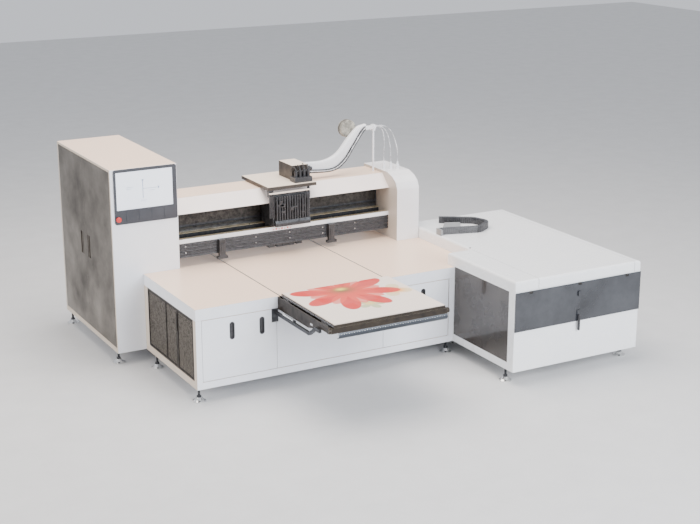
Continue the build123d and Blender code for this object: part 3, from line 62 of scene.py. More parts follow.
# %% [markdown]
# ## Camera
# A long lens from the front left keeps the machine's long edges nearly parallel. The camera is made
# first, because the tubes are measured against what it sees.

# %% Camera
lens_data = bpy.data.cameras.new("front_left_camera")
lens_data.lens = 71.5
camera = bpy.data.objects.new("front_left_camera", lens_data)
camera.location = (-5.2875, -9.6674, 3.9481)
camera.rotation_euler = (math.radians(73.5), 0, math.radians(-29.1))
scene.collection.objects.link(camera)
scene.camera = camera


# %% [markdown]
# ## Ink tubes
# Three clear tubes leave the clamp on the hose post, arch over and drop into fittings on the right
# column. A NURBS spline of order 3 bends evenly between its control points, as soft tube does.

# %% Ink tubes
TUBE_DIAMETER = 0.008
TUBE_ROUTES = {
    "left": ((0.6255, 0.506, 1.677), (0.6425, 0.506, 1.677), (0.6615, 0.504, 1.672),
             (0.6775, 0.501, 1.659), (0.6895, 0.497, 1.640), (0.6965, 0.492, 1.612),
             (0.6995, 0.486, 1.572), (0.6985, 0.480, 1.520), (0.6945, 0.476, 1.468),
             (0.6915, 0.475, 1.416), (0.6915, 0.475, 1.370)),
    "middle": ((0.6255, 0.520, 1.677), (0.6495, 0.520, 1.677), (0.6785, 0.517, 1.673),
               (0.7035, 0.510, 1.659), (0.7225, 0.500, 1.636), (0.7345, 0.487, 1.603),
               (0.7405, 0.472, 1.560), (0.7425, 0.456, 1.510), (0.7415, 0.443, 1.462),
               (0.7375, 0.435, 1.415), (0.7375, 0.435, 1.370)),
    "right": ((0.6255, 0.534, 1.677), (0.6595, 0.534, 1.677), (0.7015, 0.531, 1.676),
              (0.7415, 0.522, 1.663), (0.7705, 0.507, 1.637), (0.7875, 0.486, 1.598),
              (0.7945, 0.462, 1.552), (0.7975, 0.438, 1.503), (0.7965, 0.420, 1.456),
              (0.7915, 0.410, 1.411), (0.7915, 0.410, 1.370)),
}


def tube_curve(name, points, diameter):
    """A round tube on one open NURBS spline through the route: each point's radius is half its width."""
    curve = bpy.data.curves.new(name, "CURVE")
    curve.dimensions = "3D"
    curve.bevel_depth = 1.0
    curve.bevel_resolution = 3
    curve.resolution_u = 8
    spline = curve.splines.new("NURBS")
    spline.points.add(len(points) - 1)
    spline.points.foreach_set("co", np.c_[np.array(points), np.ones(len(points))].ravel())
    spline.points.foreach_set("radius", np.full(len(points), diameter / 2))
    spline.order_u = 3
    spline.use_endpoint_u = True
    piece = bpy.data.objects.new(name, curve)
    scene.collection.objects.link(piece)
    return piece


tubes = {}
for side, route in TUBE_ROUTES.items():
    tubes[side] = tube_curve("ink_tube_" + side, route, TUBE_DIAMETER)
    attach(tubes[side], "root")
    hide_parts("hose_" + side)
print("tubes:", len(tubes))


# %% [markdown]
# ## Shared shader groups
# Uneven tone and a second colour blended in at the edges show on many parts. Each effect is one node
# group that gives a value between 0 and 1, so every material can use it with its own numbers.

# %% Node helpers
def wire(tree, kind, inputs=None, **settings):
    """Adds a shader node, sets its properties, and fills or links its inputs."""
    node = tree.nodes.new(kind)
    for key, value in settings.items():
        setattr(node, key, value)
    for key, value in (inputs or {}).items():
        if isinstance(value, bpy.types.NodeSocket):
            tree.links.new(value, node.inputs[key])
        else:
            node.inputs[key].default_value = value
    return node


def new_group(name, inputs):
    """An empty node group with float inputs and one float output called Mask."""
    tree = bpy.data.node_groups.new(name, "ShaderNodeTree")
    for label, value in inputs.items():
        socket = tree.interface.new_socket(label, in_out="INPUT", socket_type="NodeSocketFloat")
        socket.default_value = value
    tree.interface.new_socket("Mask", in_out="OUTPUT", socket_type="NodeSocketFloat")
    return tree, tree.nodes.new("NodeGroupInput"), tree.nodes.new("NodeGroupOutput")


def noise(tree, vector, scale, detail=4.0, rough=0.55):
    """A noise value between 0 and 1."""
    made = wire(tree, "ShaderNodeTexNoise",
                {"Vector": vector, "Scale": scale, "Detail": detail, "Roughness": rough})
    return made.outputs["Fac"]


def ramp(tree, value, low, high):
    """Spreads the part of a value between low and high over 0 to 1."""
    made = wire(tree, "ShaderNodeMapRange", {"Value": value, "From Min": low, "From Max": high})
    return made.outputs["Result"]


# %% Clouds and edges
clouds, given, out = new_group("soft_clouds", {"Scale": 4.0})
place = clouds.nodes.new("ShaderNodeTexCoord").outputs["Object"]
puff = wire(clouds, "ShaderNodeTexNoise",
            {"Vector": place, "Scale": given.outputs["Scale"], "Detail": 5.0, "Roughness": 0.6})
clouds.links.new(ramp(clouds, puff.outputs["Fac"], 0.3, 0.7), out.inputs["Mask"])

# The edge mask rises where the bevelled normal turns away from the flat one; each finish blends its edge
# colour in by it.
edges, given, out = new_group("edge_blend_mask", {"Radius": 0.004})
soft = wire(edges, "ShaderNodeBevel", {"Radius": given.outputs["Radius"]}, samples=4)
flat = edges.nodes.new("ShaderNodeNewGeometry").outputs["Normal"]
facing = wire(edges, "ShaderNodeVectorMath", {0: soft.outputs["Normal"], 1: flat},
              operation="DOT_PRODUCT").outputs["Value"]
edges.links.new(ramp(edges, facing, 1.0, 0.72), out.inputs["Mask"])
print("shared groups:", [tree.name for tree in (clouds, edges)])


# %% [markdown]
# ## Finishes
# Each finish starts from one recipe: a base colour that drifts between two tones, a roughness that
# follows the same mask, and a fine bump. What differs is the tones and the scale.

# %% Finish recipe
def effect(tree, group, **values):
    """Places a shared group and gives its mask."""
    node = wire(tree, "ShaderNodeGroup", node_tree=group)
    for label, value in values.items():
        node.inputs[label].default_value = value
    return node.outputs["Mask"]


def blend_colour(tree, mask, a, b):
    """Mixes two colours, each a plain colour or another node's output, by a mask."""
    mix = wire(tree, "ShaderNodeMix", data_type="RGBA")
    tree.links.new(mask, mix.inputs[0])
    for socket, value in ((mix.inputs[6], a), (mix.inputs[7], b)):
        if isinstance(value, bpy.types.NodeSocket):
            tree.links.new(value, socket)
        else:
            socket.default_value = (*value, 1)
    return mix.outputs[2]


def finish(name, dark, light, rough, scale=4.0, metal=0.0, bump=0.02, grain=220.0,
           edge=None, coat=0.0, extra=None):
    """A material that drifts from dark to light by soft clouds, with a grain bump and an edge colour blended
    in at its edges.
    """
    material = bpy.data.materials.new(name)
    material.use_nodes = True
    tree = material.node_tree
    shader = tree.nodes["Principled BSDF"]
    field = effect(tree, clouds, Scale=scale)
    colour = blend_colour(tree, field, dark, light)
    if edge:
        colour = blend_colour(tree, effect(tree, edges), colour, edge)
    if extra:
        colour = extra(tree, colour)
    tree.links.new(colour, shader.inputs["Base Color"])
    low, high = rough
    rough_map = wire(tree, "ShaderNodeMapRange", {"Value": field, "To Min": high, "To Max": low})
    tree.links.new(rough_map.outputs["Result"], shader.inputs["Roughness"])
    shader.inputs["Metallic"].default_value = metal
    shader.inputs["Coat Weight"].default_value = coat
    place = tree.nodes.new("ShaderNodeTexCoord").outputs["Object"]
    height = noise(tree, place, grain, 2.0)
    relief = wire(tree, "ShaderNodeBump", {"Strength": bump, "Distance": 0.001, "Height": height})
    tree.links.new(relief.outputs["Normal"], shader.inputs["Normal"])
    return material


def paint_light_by_facing(tint, axis="Z", sign=1, inner=None):
    """Paints light or shade on the faces that look along an axis: the mask rises as sign times the normal
    passes 0.55.
    """
    def paint(tree, colour):
        colour = inner(tree, colour) if inner else colour
        normal = tree.nodes.new("ShaderNodeNewGeometry").outputs["Normal"]
        part = wire(tree, "ShaderNodeSeparateXYZ", {0: normal}).outputs[axis]
        return blend_colour(tree, ramp(tree, part, 0.55 * sign, 0.95 * sign), colour, tint)
    return paint


def dark_band(y0, y1, tint):
    """Paints a band between two depths, for the strip round the drum."""
    def paint(tree, colour):
        place = tree.nodes.new("ShaderNodeTexCoord").outputs["Object"]
        y = wire(tree, "ShaderNodeSeparateXYZ", {0: place}).outputs["Y"]
        after, before = ramp(tree, y, y0, y0 + 0.001), ramp(tree, y, y1, y1 - 0.001)
        inside = wire(tree, "ShaderNodeMath", {0: after, 1: before}, operation="MULTIPLY").outputs[0]
        return blend_colour(tree, inside, colour, tint)
    return paint


# Painted light and shade: the first tint paints the overhead lamp's warm light on faces that look up; the
# second paints shade on faces that look to -X and adds the first.
painted_top_light = paint_light_by_facing((0.95, 0.715, 0.555))
painted_side_shade_top_light = paint_light_by_facing((0.66, 0.565, 0.46), "X", -1, painted_top_light)


# %% Finishes for the cabinets
# Painted light: faces of the white paint that look up are tinted warm peach, as the overhead lamp lights
# them.
white_paint = finish("white_powder_coat", (0.84, 0.86, 0.92), (0.90, 0.92, 0.96), (0.30, 0.40),
                     edge=(0.60, 0.58, 0.56), extra=painted_top_light)
# Painted shade: this copy of the white paint also darkens faces that look to -X, on top of the painted warm
# top light.
white_paint_shaded_sides = finish("white_coat_painted_side_shade", (0.84, 0.86, 0.92), (0.90, 0.92, 0.96), (0.30, 0.40),
                      edge=(0.60, 0.58, 0.56), extra=painted_side_shade_top_light)
lid_paint = finish("white_lid_paint", (0.86, 0.88, 0.90), (0.92, 0.93, 0.94), (0.22, 0.32), coat=0.2)
# Painted shade: faces of the right column that look to -X are darkened, as the lamps leave that side dim.
column_paint = finish("column_paint", (0.78, 0.77, 0.78), (0.86, 0.86, 0.88), (0.34, 0.42),
                      extra=paint_light_by_facing((0.52, 0.465, 0.41), "X", -1))
# Painted reflections: the lighter cloudy patches on the dark door steel stand in for reflections on its
# shiny face.
door_steel_painted_reflections = finish("dark_door_steel_painted_reflections", (0.062, 0.054, 0.046), (0.23, 0.205, 0.175), (0.30, 0.50),
                       scale=2.4, metal=0.65, bump=0.05, grain=90, edge=(0.34, 0.31, 0.27))
dark_sheet = finish("dark_perforated_sheet", (0.008, 0.006, 0.005), (0.034, 0.025, 0.018),
                    (0.45, 0.65), scale=30.0)
smoked = finish("smoked_side_window", (0.016, 0.011, 0.008), (0.046, 0.033, 0.024), (0.14, 0.36),
                scale=5.0, coat=0.5)
slate_flap = finish("slate_gloss_flap", (0.010, 0.012, 0.017), (0.046, 0.050, 0.059), (0.10, 0.30),
                    scale=3.0, coat=0.6)
slate_bezel = finish("slate_bezel", (0.026, 0.030, 0.040), (0.050, 0.055, 0.067), (0.28, 0.40))
print("cabinet finishes ready")

# %% Finishes for the machinery
black_metal = finish("black_satin_metal", (0.010, 0.011, 0.013), (0.055, 0.058, 0.065), (0.28, 0.50),
                     scale=38.0, metal=0.4, bump=0.25, grain=160, edge=(0.20, 0.20, 0.21))
black_plastic = finish("black_plastic", (0.010, 0.010, 0.012), (0.034, 0.034, 0.038), (0.30, 0.48),
                       scale=18.0, edge=(0.11, 0.11, 0.12))
brown_anodised = finish("brown_anodised", (0.012, 0.009, 0.007), (0.044, 0.033, 0.023), (0.32, 0.48),
                        scale=14.0, metal=0.5, edge=(0.20, 0.17, 0.13))
slate_bar = finish("slate_grab_bar", (0.032, 0.039, 0.050), (0.072, 0.082, 0.098), (0.24, 0.36),
                   metal=0.5, edge=(0.34, 0.36, 0.38))
bright_metal = finish("polished_feet", (0.66, 0.66, 0.65), (0.92, 0.92, 0.90), (0.12, 0.24),
                      scale=40.0, metal=0.95)
rail_steel = finish("ground_rail_steel", (0.36, 0.36, 0.37), (0.56, 0.56, 0.57), (0.22, 0.36),
                    metal=0.9, scale=25.0)
dark_rail = finish("dark_rail_face", (0.009, 0.009, 0.009), (0.060, 0.056, 0.052), (0.30, 0.50),
                   metal=0.7, scale=46.0, bump=0.2)
# Painted light: faces of the tray and ink box that look up are tinted cream, as the warm overhead lamp
# lights them.
tray_metal = finish("dark_tray_edge", (0.020, 0.014, 0.010), (0.052, 0.038, 0.027), (0.34, 0.48),
                    scale=16.0, extra=paint_light_by_facing((0.86, 0.73, 0.60)))
chain_gloss = finish("glossy_chain", (0.010, 0.010, 0.012), (0.040, 0.040, 0.044), (0.12, 0.24),
                     scale=30.0, coat=0.4, edge=(0.14, 0.14, 0.15))
# Painted light: the ledge's warm golden tone stands in for the overhead lamp lighting its top.
ledge_metal_painted_light = finish("ledge_painted_warm_light", (0.42, 0.33, 0.19), (0.78, 0.66, 0.45), (0.25, 0.42),
                     metal=0.6, scale=12.0)
grey_primer = finish("grey_primer", (0.20, 0.21, 0.22), (0.30, 0.31, 0.32), (0.48, 0.60))
cream_board = finish("cream_board", (0.84, 0.72, 0.62), (0.88, 0.78, 0.69), (0.40, 0.55), bump=0.04)
white_plastic = finish("white_plastic", (0.74, 0.75, 0.78), (0.82, 0.83, 0.86), (0.34, 0.44))
beige_plastic = finish("beige_drum", (0.060, 0.055, 0.048), (0.46, 0.44, 0.37), (0.34, 0.52), scale=22.0,
                       extra=dark_band(0.570, 0.585, (0.05, 0.045, 0.04)))
clear_tube = finish("clear_tube", (0.15, 0.155, 0.165), (0.82, 0.84, 0.87), (0.10, 0.24), scale=28.0,
                    coat=0.5)
bottle = finish("milky_bottle", (0.42, 0.44, 0.47), (0.58, 0.60, 0.63), (0.35, 0.50))
red_cap = finish("red_stop_cap", (0.52, 0.010, 0.008), (0.72, 0.030, 0.020), (0.18, 0.30), coat=0.4)
screen_face = finish("lit_screen", (0.74, 0.79, 0.88), (0.80, 0.85, 0.92), (0.12, 0.20), coat=0.5)
glow = screen_face.node_tree.nodes["Principled BSDF"]
glow.inputs["Emission Color"].default_value = (0.80, 0.87, 1.0, 1)
glow.inputs["Emission Strength"].default_value = 0.75

NODE_FINISHES = {
    white_paint: "table_top front_panel front_door_left front_door_right",
    white_paint_shaded_sides: "base_casing beam_cover tower_casing",
    tray_metal: "carriage_tray ink_box",
    dark_rail: "linear_rails hinge_pins",
    chain_gloss: "cable_chain",
    lid_paint: "box_casing box_lid",
    column_paint: "right_column",
    door_steel_painted_reflections: "tower_door_front tower_door_rear",
    dark_sheet: "vent_door vent_panel",
    smoked: "side_window",
    slate_flap: "cure_flap",
    slate_bezel: "screen_bezel",
    screen_face: "display_screen",
    red_cap: "stop_button",
    black_metal: "x_beam guard_beam carriage_plate carriage_yoke head_body stay_arms foot_studs "
                 "base_frame",
    black_plastic: "valve_bank print_heads cure_lamps crash_sensors flap_latch",
    brown_anodised: "bed_plate extension_frame",
    slate_bar: "grab_bar",
    bright_metal: "foot_pads arm_dampers",
    rail_steel: "bed_blocks lift_screw",
    ledge_metal_painted_light: "guard_ledges",
    grey_primer: "column_posts control_gear vacuum_pump cure_rack lid_fittings",
    cream_board: "print_board",
    white_plastic: "guard_strip hose_post hose_fittings hose_duct",
    beige_plastic: "hose_drum",
    clear_tube: "hose_left hose_middle hose_right",
    bottle: "ink_tanks",
}
for material, names in NODE_FINISHES.items():
    for name in names.split():
        for place in nodes[name].material_slots:
            place.material = material
for piece in tubes.values():
    piece.data.materials.append(clear_tube)
undressed = set(nodes) - set(" ".join(NODE_FINISHES.values()).split())
print("nodes without a finish:", sorted(undressed))


# %% [markdown]
# ## Mesh tools
# A piece here is either a grid of points computed from two parameters, or one small shape repeated
# at many places. Both are built as whole numpy arrays and handed to Blender in one go.

# %% Mesh tools
def put(name, points, faces, material, body, slot, smooth=False, bevel=0.0):
    """Makes a mesh of equal-sided faces, merges its poles, turns it outwards and mounts it."""
    points, faces = np.asarray(points, float).reshape(-1, 3), np.asarray(faces, int)
    mesh = bpy.data.meshes.new(name)
    mesh.vertices.add(len(points))
    mesh.vertices.foreach_set("co", points.ravel())
    mesh.loops.add(faces.size)
    mesh.loops.foreach_set("vertex_index", faces.ravel())
    mesh.polygons.add(len(faces))
    mesh.polygons.foreach_set("loop_start", np.arange(0, faces.size, faces.shape[1]))
    mesh.update(calc_edges=True)
    work = bmesh.new()
    work.from_mesh(mesh)
    bmesh.ops.remove_doubles(work, verts=work.verts, dist=1e-6)
    bmesh.ops.dissolve_degenerate(work, edges=work.edges, dist=1e-7)
    bmesh.ops.recalc_face_normals(work, faces=work.faces)
    work.to_mesh(mesh)
    work.free()
    mesh.polygons.foreach_set("use_smooth", np.full(len(mesh.polygons), smooth))
    mesh.materials.append(material)
    piece = bpy.data.objects.new(name, mesh)
    scene.collection.objects.link(piece)
    if bevel:
        rounding = piece.modifiers.new("soft edges", "BEVEL")
        rounding.width, rounding.segments, rounding.limit_method = bevel, 2, "ANGLE"
    if body:
        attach(piece, body)
    return piece


def grid_faces(rows, columns, wrap=False):
    """Quads between neighbours of a rows by columns grid, joined round its columns if wrap."""
    last = columns if wrap else columns - 1
    r, c = np.meshgrid(np.arange(rows - 1), np.arange(last), indexing="ij")
    right = (c + 1) % columns
    return np.stack([r * columns + c, r * columns + right,
                     (r + 1) * columns + right, (r + 1) * columns + c], -1).reshape(-1, 4)


def repeated(points, faces, places):
    """One small shape copied to many places, as two arrays."""
    points, places = np.asarray(points, float), np.asarray(places, float)
    many = (places[:, None, :] + points[None]).reshape(-1, 3)
    steps = np.arange(len(places))[:, None, None] * len(points)
    return many, (steps + np.asarray(faces)[None]).reshape(-1, np.asarray(faces).shape[1])


CORNERS = np.array([(x, y, z) for x in (0, 1) for y in (0, 1) for z in (0, 1)], float)
SIDES = np.array([(0, 1, 3, 2), (4, 6, 7, 5), (0, 4, 5, 1), (2, 3, 7, 6), (0, 2, 6, 4), (1, 5, 7, 3)])


def blocks(lows, highs):
    """Blocks between lists of low and high corners: each corner is low plus size times 0 or 1."""
    lows, highs = np.atleast_2d(lows).astype(float), np.atleast_2d(highs).astype(float)
    points = lows[:, None, :] + CORNERS[None] * (highs - lows)[:, None, :]
    steps = np.arange(len(lows))[:, None, None] * 8
    return points.reshape(-1, 3), (steps + SIDES[None]).reshape(-1, 4)


def turned(profile, sides=20, axis=2):
    """A profile of (radius, height) pairs carried round an axis: x = r cos a, y = r sin a."""
    profile = np.asarray(profile, float)
    angle = np.linspace(0, 2 * np.pi, sides, endpoint=False)
    ring = np.stack([profile[:, :1] * np.cos(angle), profile[:, :1] * np.sin(angle),
                     np.repeat(profile[:, 1:], sides, 1)], -1)
    return np.roll(ring, axis + 1, -1).reshape(-1, 3), grid_faces(len(profile), sides, wrap=True)


print("mesh tools ready")


# %% [markdown]
# ## Hose duct
# A broad white sleeve sweeps from the carriage up to the post and carries the tubes. Its section is a
# rounded box between an upper and a lower line.

# %% Smooth line through points
def smooth_line(points, count):
    """A Catmull-Rom line: each stretch is a cubic through its two ends, steered by its neighbours."""
    p = np.asarray(points, float)
    p = np.vstack([2 * p[0] - p[1], p, 2 * p[-1] - p[-2]])
    t = np.linspace(0, len(p) - 3 - 1e-9, count)
    k = t.astype(int)
    u = (t - k)[:, None]
    a, b, c, d = p[k], p[k + 1], p[k + 2], p[k + 3]
    return 0.5 * (2 * b + (c - a) * u + (2 * a - 5 * b + 4 * c - d) * u ** 2
                  + (3 * b - a - 3 * c + d) * u ** 3)


# %% Duct
duct_low, duct_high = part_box("hose_duct")
DUCT_UPPER = ((-0.0685, 1.432), (0.1195, 1.431), (0.2475, 1.482), (0.3605, 1.607), (0.4455, 1.684),
              (0.5275, 1.706))
DUCT_LOWER = ((-0.0685, 1.336), (0.1985, 1.330), (0.3195, 1.392), (0.4005, 1.502), (0.4905, 1.623),
              (0.5275, 1.660))
DUCT_ROWS, DUCT_SIDES, DUCT_SQUARENESS = 90, 32, 5.0
upper, lower = smooth_line(DUCT_UPPER, DUCT_ROWS), smooth_line(DUCT_LOWER, DUCT_ROWS)
middle, reach = (upper + lower) / 2, (upper - lower) / 2
duct_y, duct_half = (duct_low[1] + duct_high[1]) / 2, (duct_high[1] - duct_low[1]) / 2
angle = np.linspace(0, 2 * np.pi, DUCT_SIDES, endpoint=False)
across = np.sign(np.cos(angle)) * np.abs(np.cos(angle)) ** (2 / DUCT_SQUARENESS)
deep = np.sign(np.sin(angle)) * np.abs(np.sin(angle)) ** (2 / DUCT_SQUARENESS)
skin = np.empty((DUCT_ROWS, DUCT_SIDES, 3))
skin[..., 0] = middle[:, :1] + reach[:, :1] * across
skin[..., 1] = duct_y + duct_half * deep
skin[..., 2] = middle[:, 1:] + reach[:, 1:] * across
ends = [np.repeat(skin[i].mean(0)[None, None], DUCT_SIDES, 1) for i in (0, -1)]
skin = np.concatenate([ends[0], skin, ends[1]])
duct = put("hose_duct_sleeve", skin, grid_faces(len(skin), DUCT_SIDES, wrap=True), white_plastic,
           None, "white_plastic", smooth=True)
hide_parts("hose_duct")
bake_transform(duct)


def pipe(line, radius, sides=8):
    """A round pipe: circles in the plane across each point's direction, with closed ends."""
    ahead = np.gradient(line, axis=0)
    ahead /= np.linalg.norm(ahead, axis=1)[:, None]
    side = np.cross(ahead, (0.0, 1.0, 0.03))
    side /= np.linalg.norm(side, axis=1)[:, None]
    up = np.cross(side, ahead)
    a = np.linspace(0, 2 * np.pi, sides, endpoint=False)[None, :, None]
    ring = line[:, None] + radius * (np.cos(a) * side[:, None] + np.sin(a) * up[:, None])
    caps = [np.repeat(line[i][None, None], sides, 1) for i in (0, -1)]
    ring = np.concatenate([caps[0], ring, caps[1]])
    return ring, grid_faces(len(ring), sides, wrap=True)


PIPE_OFFSETS = ((-0.031, 0.010, black_plastic, "black_plastic"), (-0.034, 0.022, clear_tube, "hose_clear"),
                (-0.030, 0.033, black_plastic, "black_plastic"))
for number, (dy, lift, material, slot_name) in enumerate(PIPE_OFFSETS):
    line = np.c_[lower[:, 0], np.full(DUCT_ROWS, duct_y + dy), lower[:, 1]]
    line[:, [0, 2]] += reach / np.linalg.norm(reach, axis=1)[:, None] * lift
    points, faces = pipe(line[3:-3], 0.005)
    strapped = put(f"duct_pipe_{number}", points, faces, material, None, slot_name, smooth=True)
    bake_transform(strapped)
print("duct rows:", DUCT_ROWS)


# %% [markdown]
# ## Printed board
# The board shows a freshly printed flower of this lesson's own design. A fine grid lies on the board
# and each point gets an ink colour from polar formulas, so the print is part of the mesh itself.

# %% Ink film
board_low, board_high = (np.array(c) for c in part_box("print_board"))
INK_COLUMNS, INK_ROWS, INK_LIFT, INK_MARGIN = 250, 224, 0.0003, 0.004
u, v = np.meshgrid(np.linspace(0, 1, INK_COLUMNS), np.linspace(0, 1, INK_ROWS))
low, high = board_low + INK_MARGIN, board_high - INK_MARGIN
film = np.stack([low[0] + u * (high[0] - low[0]), low[1] + v * (high[1] - low[1]),
                 np.full_like(u, board_high[2] + INK_LIFT)], -1)
width, depth = high[0] - low[0], high[1] - low[1]


def petals(cx, cy, radius, count, turn, sharp):
    """1 inside a flower: radius times (0.34 + 0.66 |cos(count a / 2)|^sharp) at angle a."""
    x, y = (u - cx) * width, (v - cy) * depth
    a = np.arctan2(y, x) + turn
    edge = radius * (0.34 + 0.66 * np.abs(np.cos(count * a / 2)) ** sharp)
    return np.clip((edge - np.hypot(x, y)) / 0.010 + 0.5, 0, 1)


def spot(cx, cy, rx, ry):
    """1 at the middle of a soft oval, falling as a bell curve."""
    return np.exp(-(((u - cx) / rx) ** 2 + ((v - cy) / ry) ** 2))


ink = np.ones(u.shape + (3,)) * (0.86, 0.75, 0.66)
wash = np.random.default_rng(7).random((9, 10))
rows = np.linspace(0, 8, INK_ROWS)[:, None]
columns = np.linspace(0, 9, INK_COLUMNS)[None]
uneven = wash[np.round(rows).astype(int), np.round(columns).astype(int)] * 0.06
layers = (
    (petals(0.84, 0.60, 0.15, 4, 0.5, 0.9) * 0.55, (0.62, 0.50, 0.16)),
    (spot(0.87, 0.58, 0.07, 0.07), (0.92, 0.36, 0.02)),
    (petals(0.50, 0.34, 0.110, 5, 0.2, 0.8) * 0.6, (0.24, 0.34, 0.08)),
    (spot(0.50, 0.36, 0.05, 0.04) * 0.8, (0.88, 0.60, 0.18)),
    (petals(0.47, 0.76, 0.42, 8, 0.35, 0.95), (0.60, 0.024, 0.018)),
    (petals(0.47, 0.76, 0.30, 8, 0.74, 1.1) * 0.80, (0.74, 0.085, 0.055)),
    (spot(0.47, 0.82, 0.110, 0.085) * 0.95, (0.13, 0.11, 0.035)),
    (spot(0.47, 0.85, 0.045, 0.035), (0.82, 0.64, 0.12)),
)
for strength, colour in layers:
    strength = (strength * (1 - uneven))[..., None]
    ink = ink * (1 - strength) + np.array(colour) * strength
ink_film = put("printed_flower", film, grid_faces(INK_ROWS, INK_COLUMNS), cream_board, "bed",
               "cream_board")
colours = ink_film.data.color_attributes.new("ink", "FLOAT_COLOR", "POINT")
here = np.empty(len(ink_film.data.vertices) * 3)
ink_film.data.vertices.foreach_get("co", here)
here = here.reshape(-1, 3)
column = np.round((here[:, 0] - low[0]) / width * (INK_COLUMNS - 1)).astype(int)
row = np.round((here[:, 1] - low[1]) / depth * (INK_ROWS - 1)).astype(int)
colours.data.foreach_set("color", np.c_[ink[row, column], np.ones(len(here))].ravel())


def own_ink(tree, colour):
    """The board's colour is the one stored at its points."""
    return wire(tree, "ShaderNodeAttribute", attribute_name="ink").outputs["Color"]


printed = finish("printed_ink", (0.8, 0.7, 0.6), (0.9, 0.8, 0.7), (0.35, 0.5), bump=0.06, extra=own_ink)
ink_film.data.materials[0] = printed
print("ink points:", INK_COLUMNS * INK_ROWS)


# %% [markdown]
# ## Perforated side sheets
# The base's left side breathes through perforated sheet. Each hole has a raised rim, with painted glints:
# a low hexagonal ring, repeated on a staggered grid and kept off the finger slot.

# %% Perforated sheets
RIM_OUTER, RIM_INNER, RIM_HEIGHT, RIM_PITCH = 0.0052, 0.0034, 0.0012, 0.0135
six = np.arange(6) * np.pi / 3
hexagon = np.stack([np.zeros(6), np.cos(six), np.sin(six)], -1)
lifted = np.array((RIM_HEIGHT, 0, 0))
rim_points = np.concatenate([hexagon * RIM_OUTER, hexagon * RIM_OUTER - lifted,
                             hexagon * RIM_INNER - lifted, hexagon * RIM_INNER])
rim_faces = grid_faces(4, 6, wrap=True)
# Painted glints: the rims drift from near black to bright beige, so that scattered rims look lit.
painted_glints = finish("rim_painted_glints", (0.008, 0.006, 0.005), (0.42, 0.37, 0.30), (0.25, 0.45), scale=64.0,
                metal=0.4)
SHEET_FACE_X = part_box("vent_door")[0][0] + 0.0045
SHEET_SPANS = {"vent": ((-0.655, -0.386),), "root": ((-0.344, -0.151), (-0.135, 0.211))}
HOLD_FREE_Y, HOLD_FREE_Z = -0.400, 0.455
for body, spans in SHEET_SPANS.items():
    places = []
    for y0, y1 in spans:
        ys, zs = np.arange(y0 + 0.010, y1 - 0.008, RIM_PITCH), np.arange(0.194, 0.622, RIM_PITCH * 0.87)
        yy, zz = np.meshgrid(ys, zs)
        yy = yy + (np.arange(len(zs)) % 2)[:, None] * RIM_PITCH / 2
        inside = yy < y1 - 0.008
        places.append(np.stack([np.full(inside.sum(), SHEET_FACE_X), yy[inside], zz[inside]], -1))
    places = np.concatenate(places)
    if body == "vent":
        places = places[(places[:, 1] < HOLD_FREE_Y) | (places[:, 2] < HOLD_FREE_Z)]
    put(f"sheet_rims_{body}", *repeated(rim_points, rim_faces, places), painted_glints, body, "dark_mesh")
    print("rims on", body, len(places))


# %% [markdown]
# ## Tower face
# The screen shows a plain pair of axes and a faint frame, the bezel has a row of flat keys, and a
# stop button stands at its lower left.

# %% Tower face
screen_low, screen_high = (np.array(c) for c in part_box("display_screen"))
bezel_low, bezel_high = (np.array(c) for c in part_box("screen_bezel"))
faint = finish("screen_lines", (0.09, 0.17, 0.33), (0.16, 0.25, 0.42), (0.3, 0.4))
cx, cz = screen_low[0] + 0.215, (screen_low[2] + screen_high[2]) / 2 + 0.005
front = screen_low[1]
LINE = 0.0022
SCREEN_LINES = (
    (cx, cz - 0.075, LINE * 2, 0.150), (cx + 0.004, cz - 0.002, 0.135, LINE),
    (cx - 0.010, cz + 0.066, 0.024, LINE * 2), (cx + 0.130, cz - 0.012, LINE * 2, 0.022),
    (cx - 0.135, cz + 0.020, 0.060, LINE), (cx - 0.135, cz + 0.006, 0.045, LINE),
    (cx + 0.060, cz - 0.020, 0.040, LINE), (cx - 0.020, cz - 0.095, 0.050, LINE),
)
lows = [(x, front - 0.0004, z) for x, z, w, h in SCREEN_LINES]
highs = [(x + w, front + 0.0002, z + h) for x, z, w, h in SCREEN_LINES]
put("screen_axes", *blocks(lows, highs), faint, "root", "slate_gloss")
bezel_front = bezel_low[1] + 0.004
key_x = np.linspace(bezel_low[0] + 0.090, bezel_high[0] - 0.110, 4)
lows = [(x, bezel_front - 0.0022, bezel_low[2] + 0.022) for x in key_x]
highs = [(x + 0.092, bezel_front, bezel_low[2] + 0.096) for x in key_x]
put("bezel_keys", *blocks(lows, highs), slate_bezel, "root", "slate_gloss", bevel=0.0012)
print("screen lines:", len(SCREEN_LINES))


# %% [markdown]
# ## Dark linings of the door pulls
# A pull is an oval cup let into the door. Its lining is one profile of inset and depth carried round
# an upright oval, closed at its middle, with a small wall thickness.

# %% Door pulls
PULL_HALF_W, PULL_HALF_H, PULL_DEPTH, PULL_WALL = 0.0165, 0.064, 0.0105, 0.0006
PULLS = {"door_left": (-1.3133, -1.0681), "door_right": (0.1091, 0.3543)}
PULL_Z, PULL_SIDES = 0.532, 28


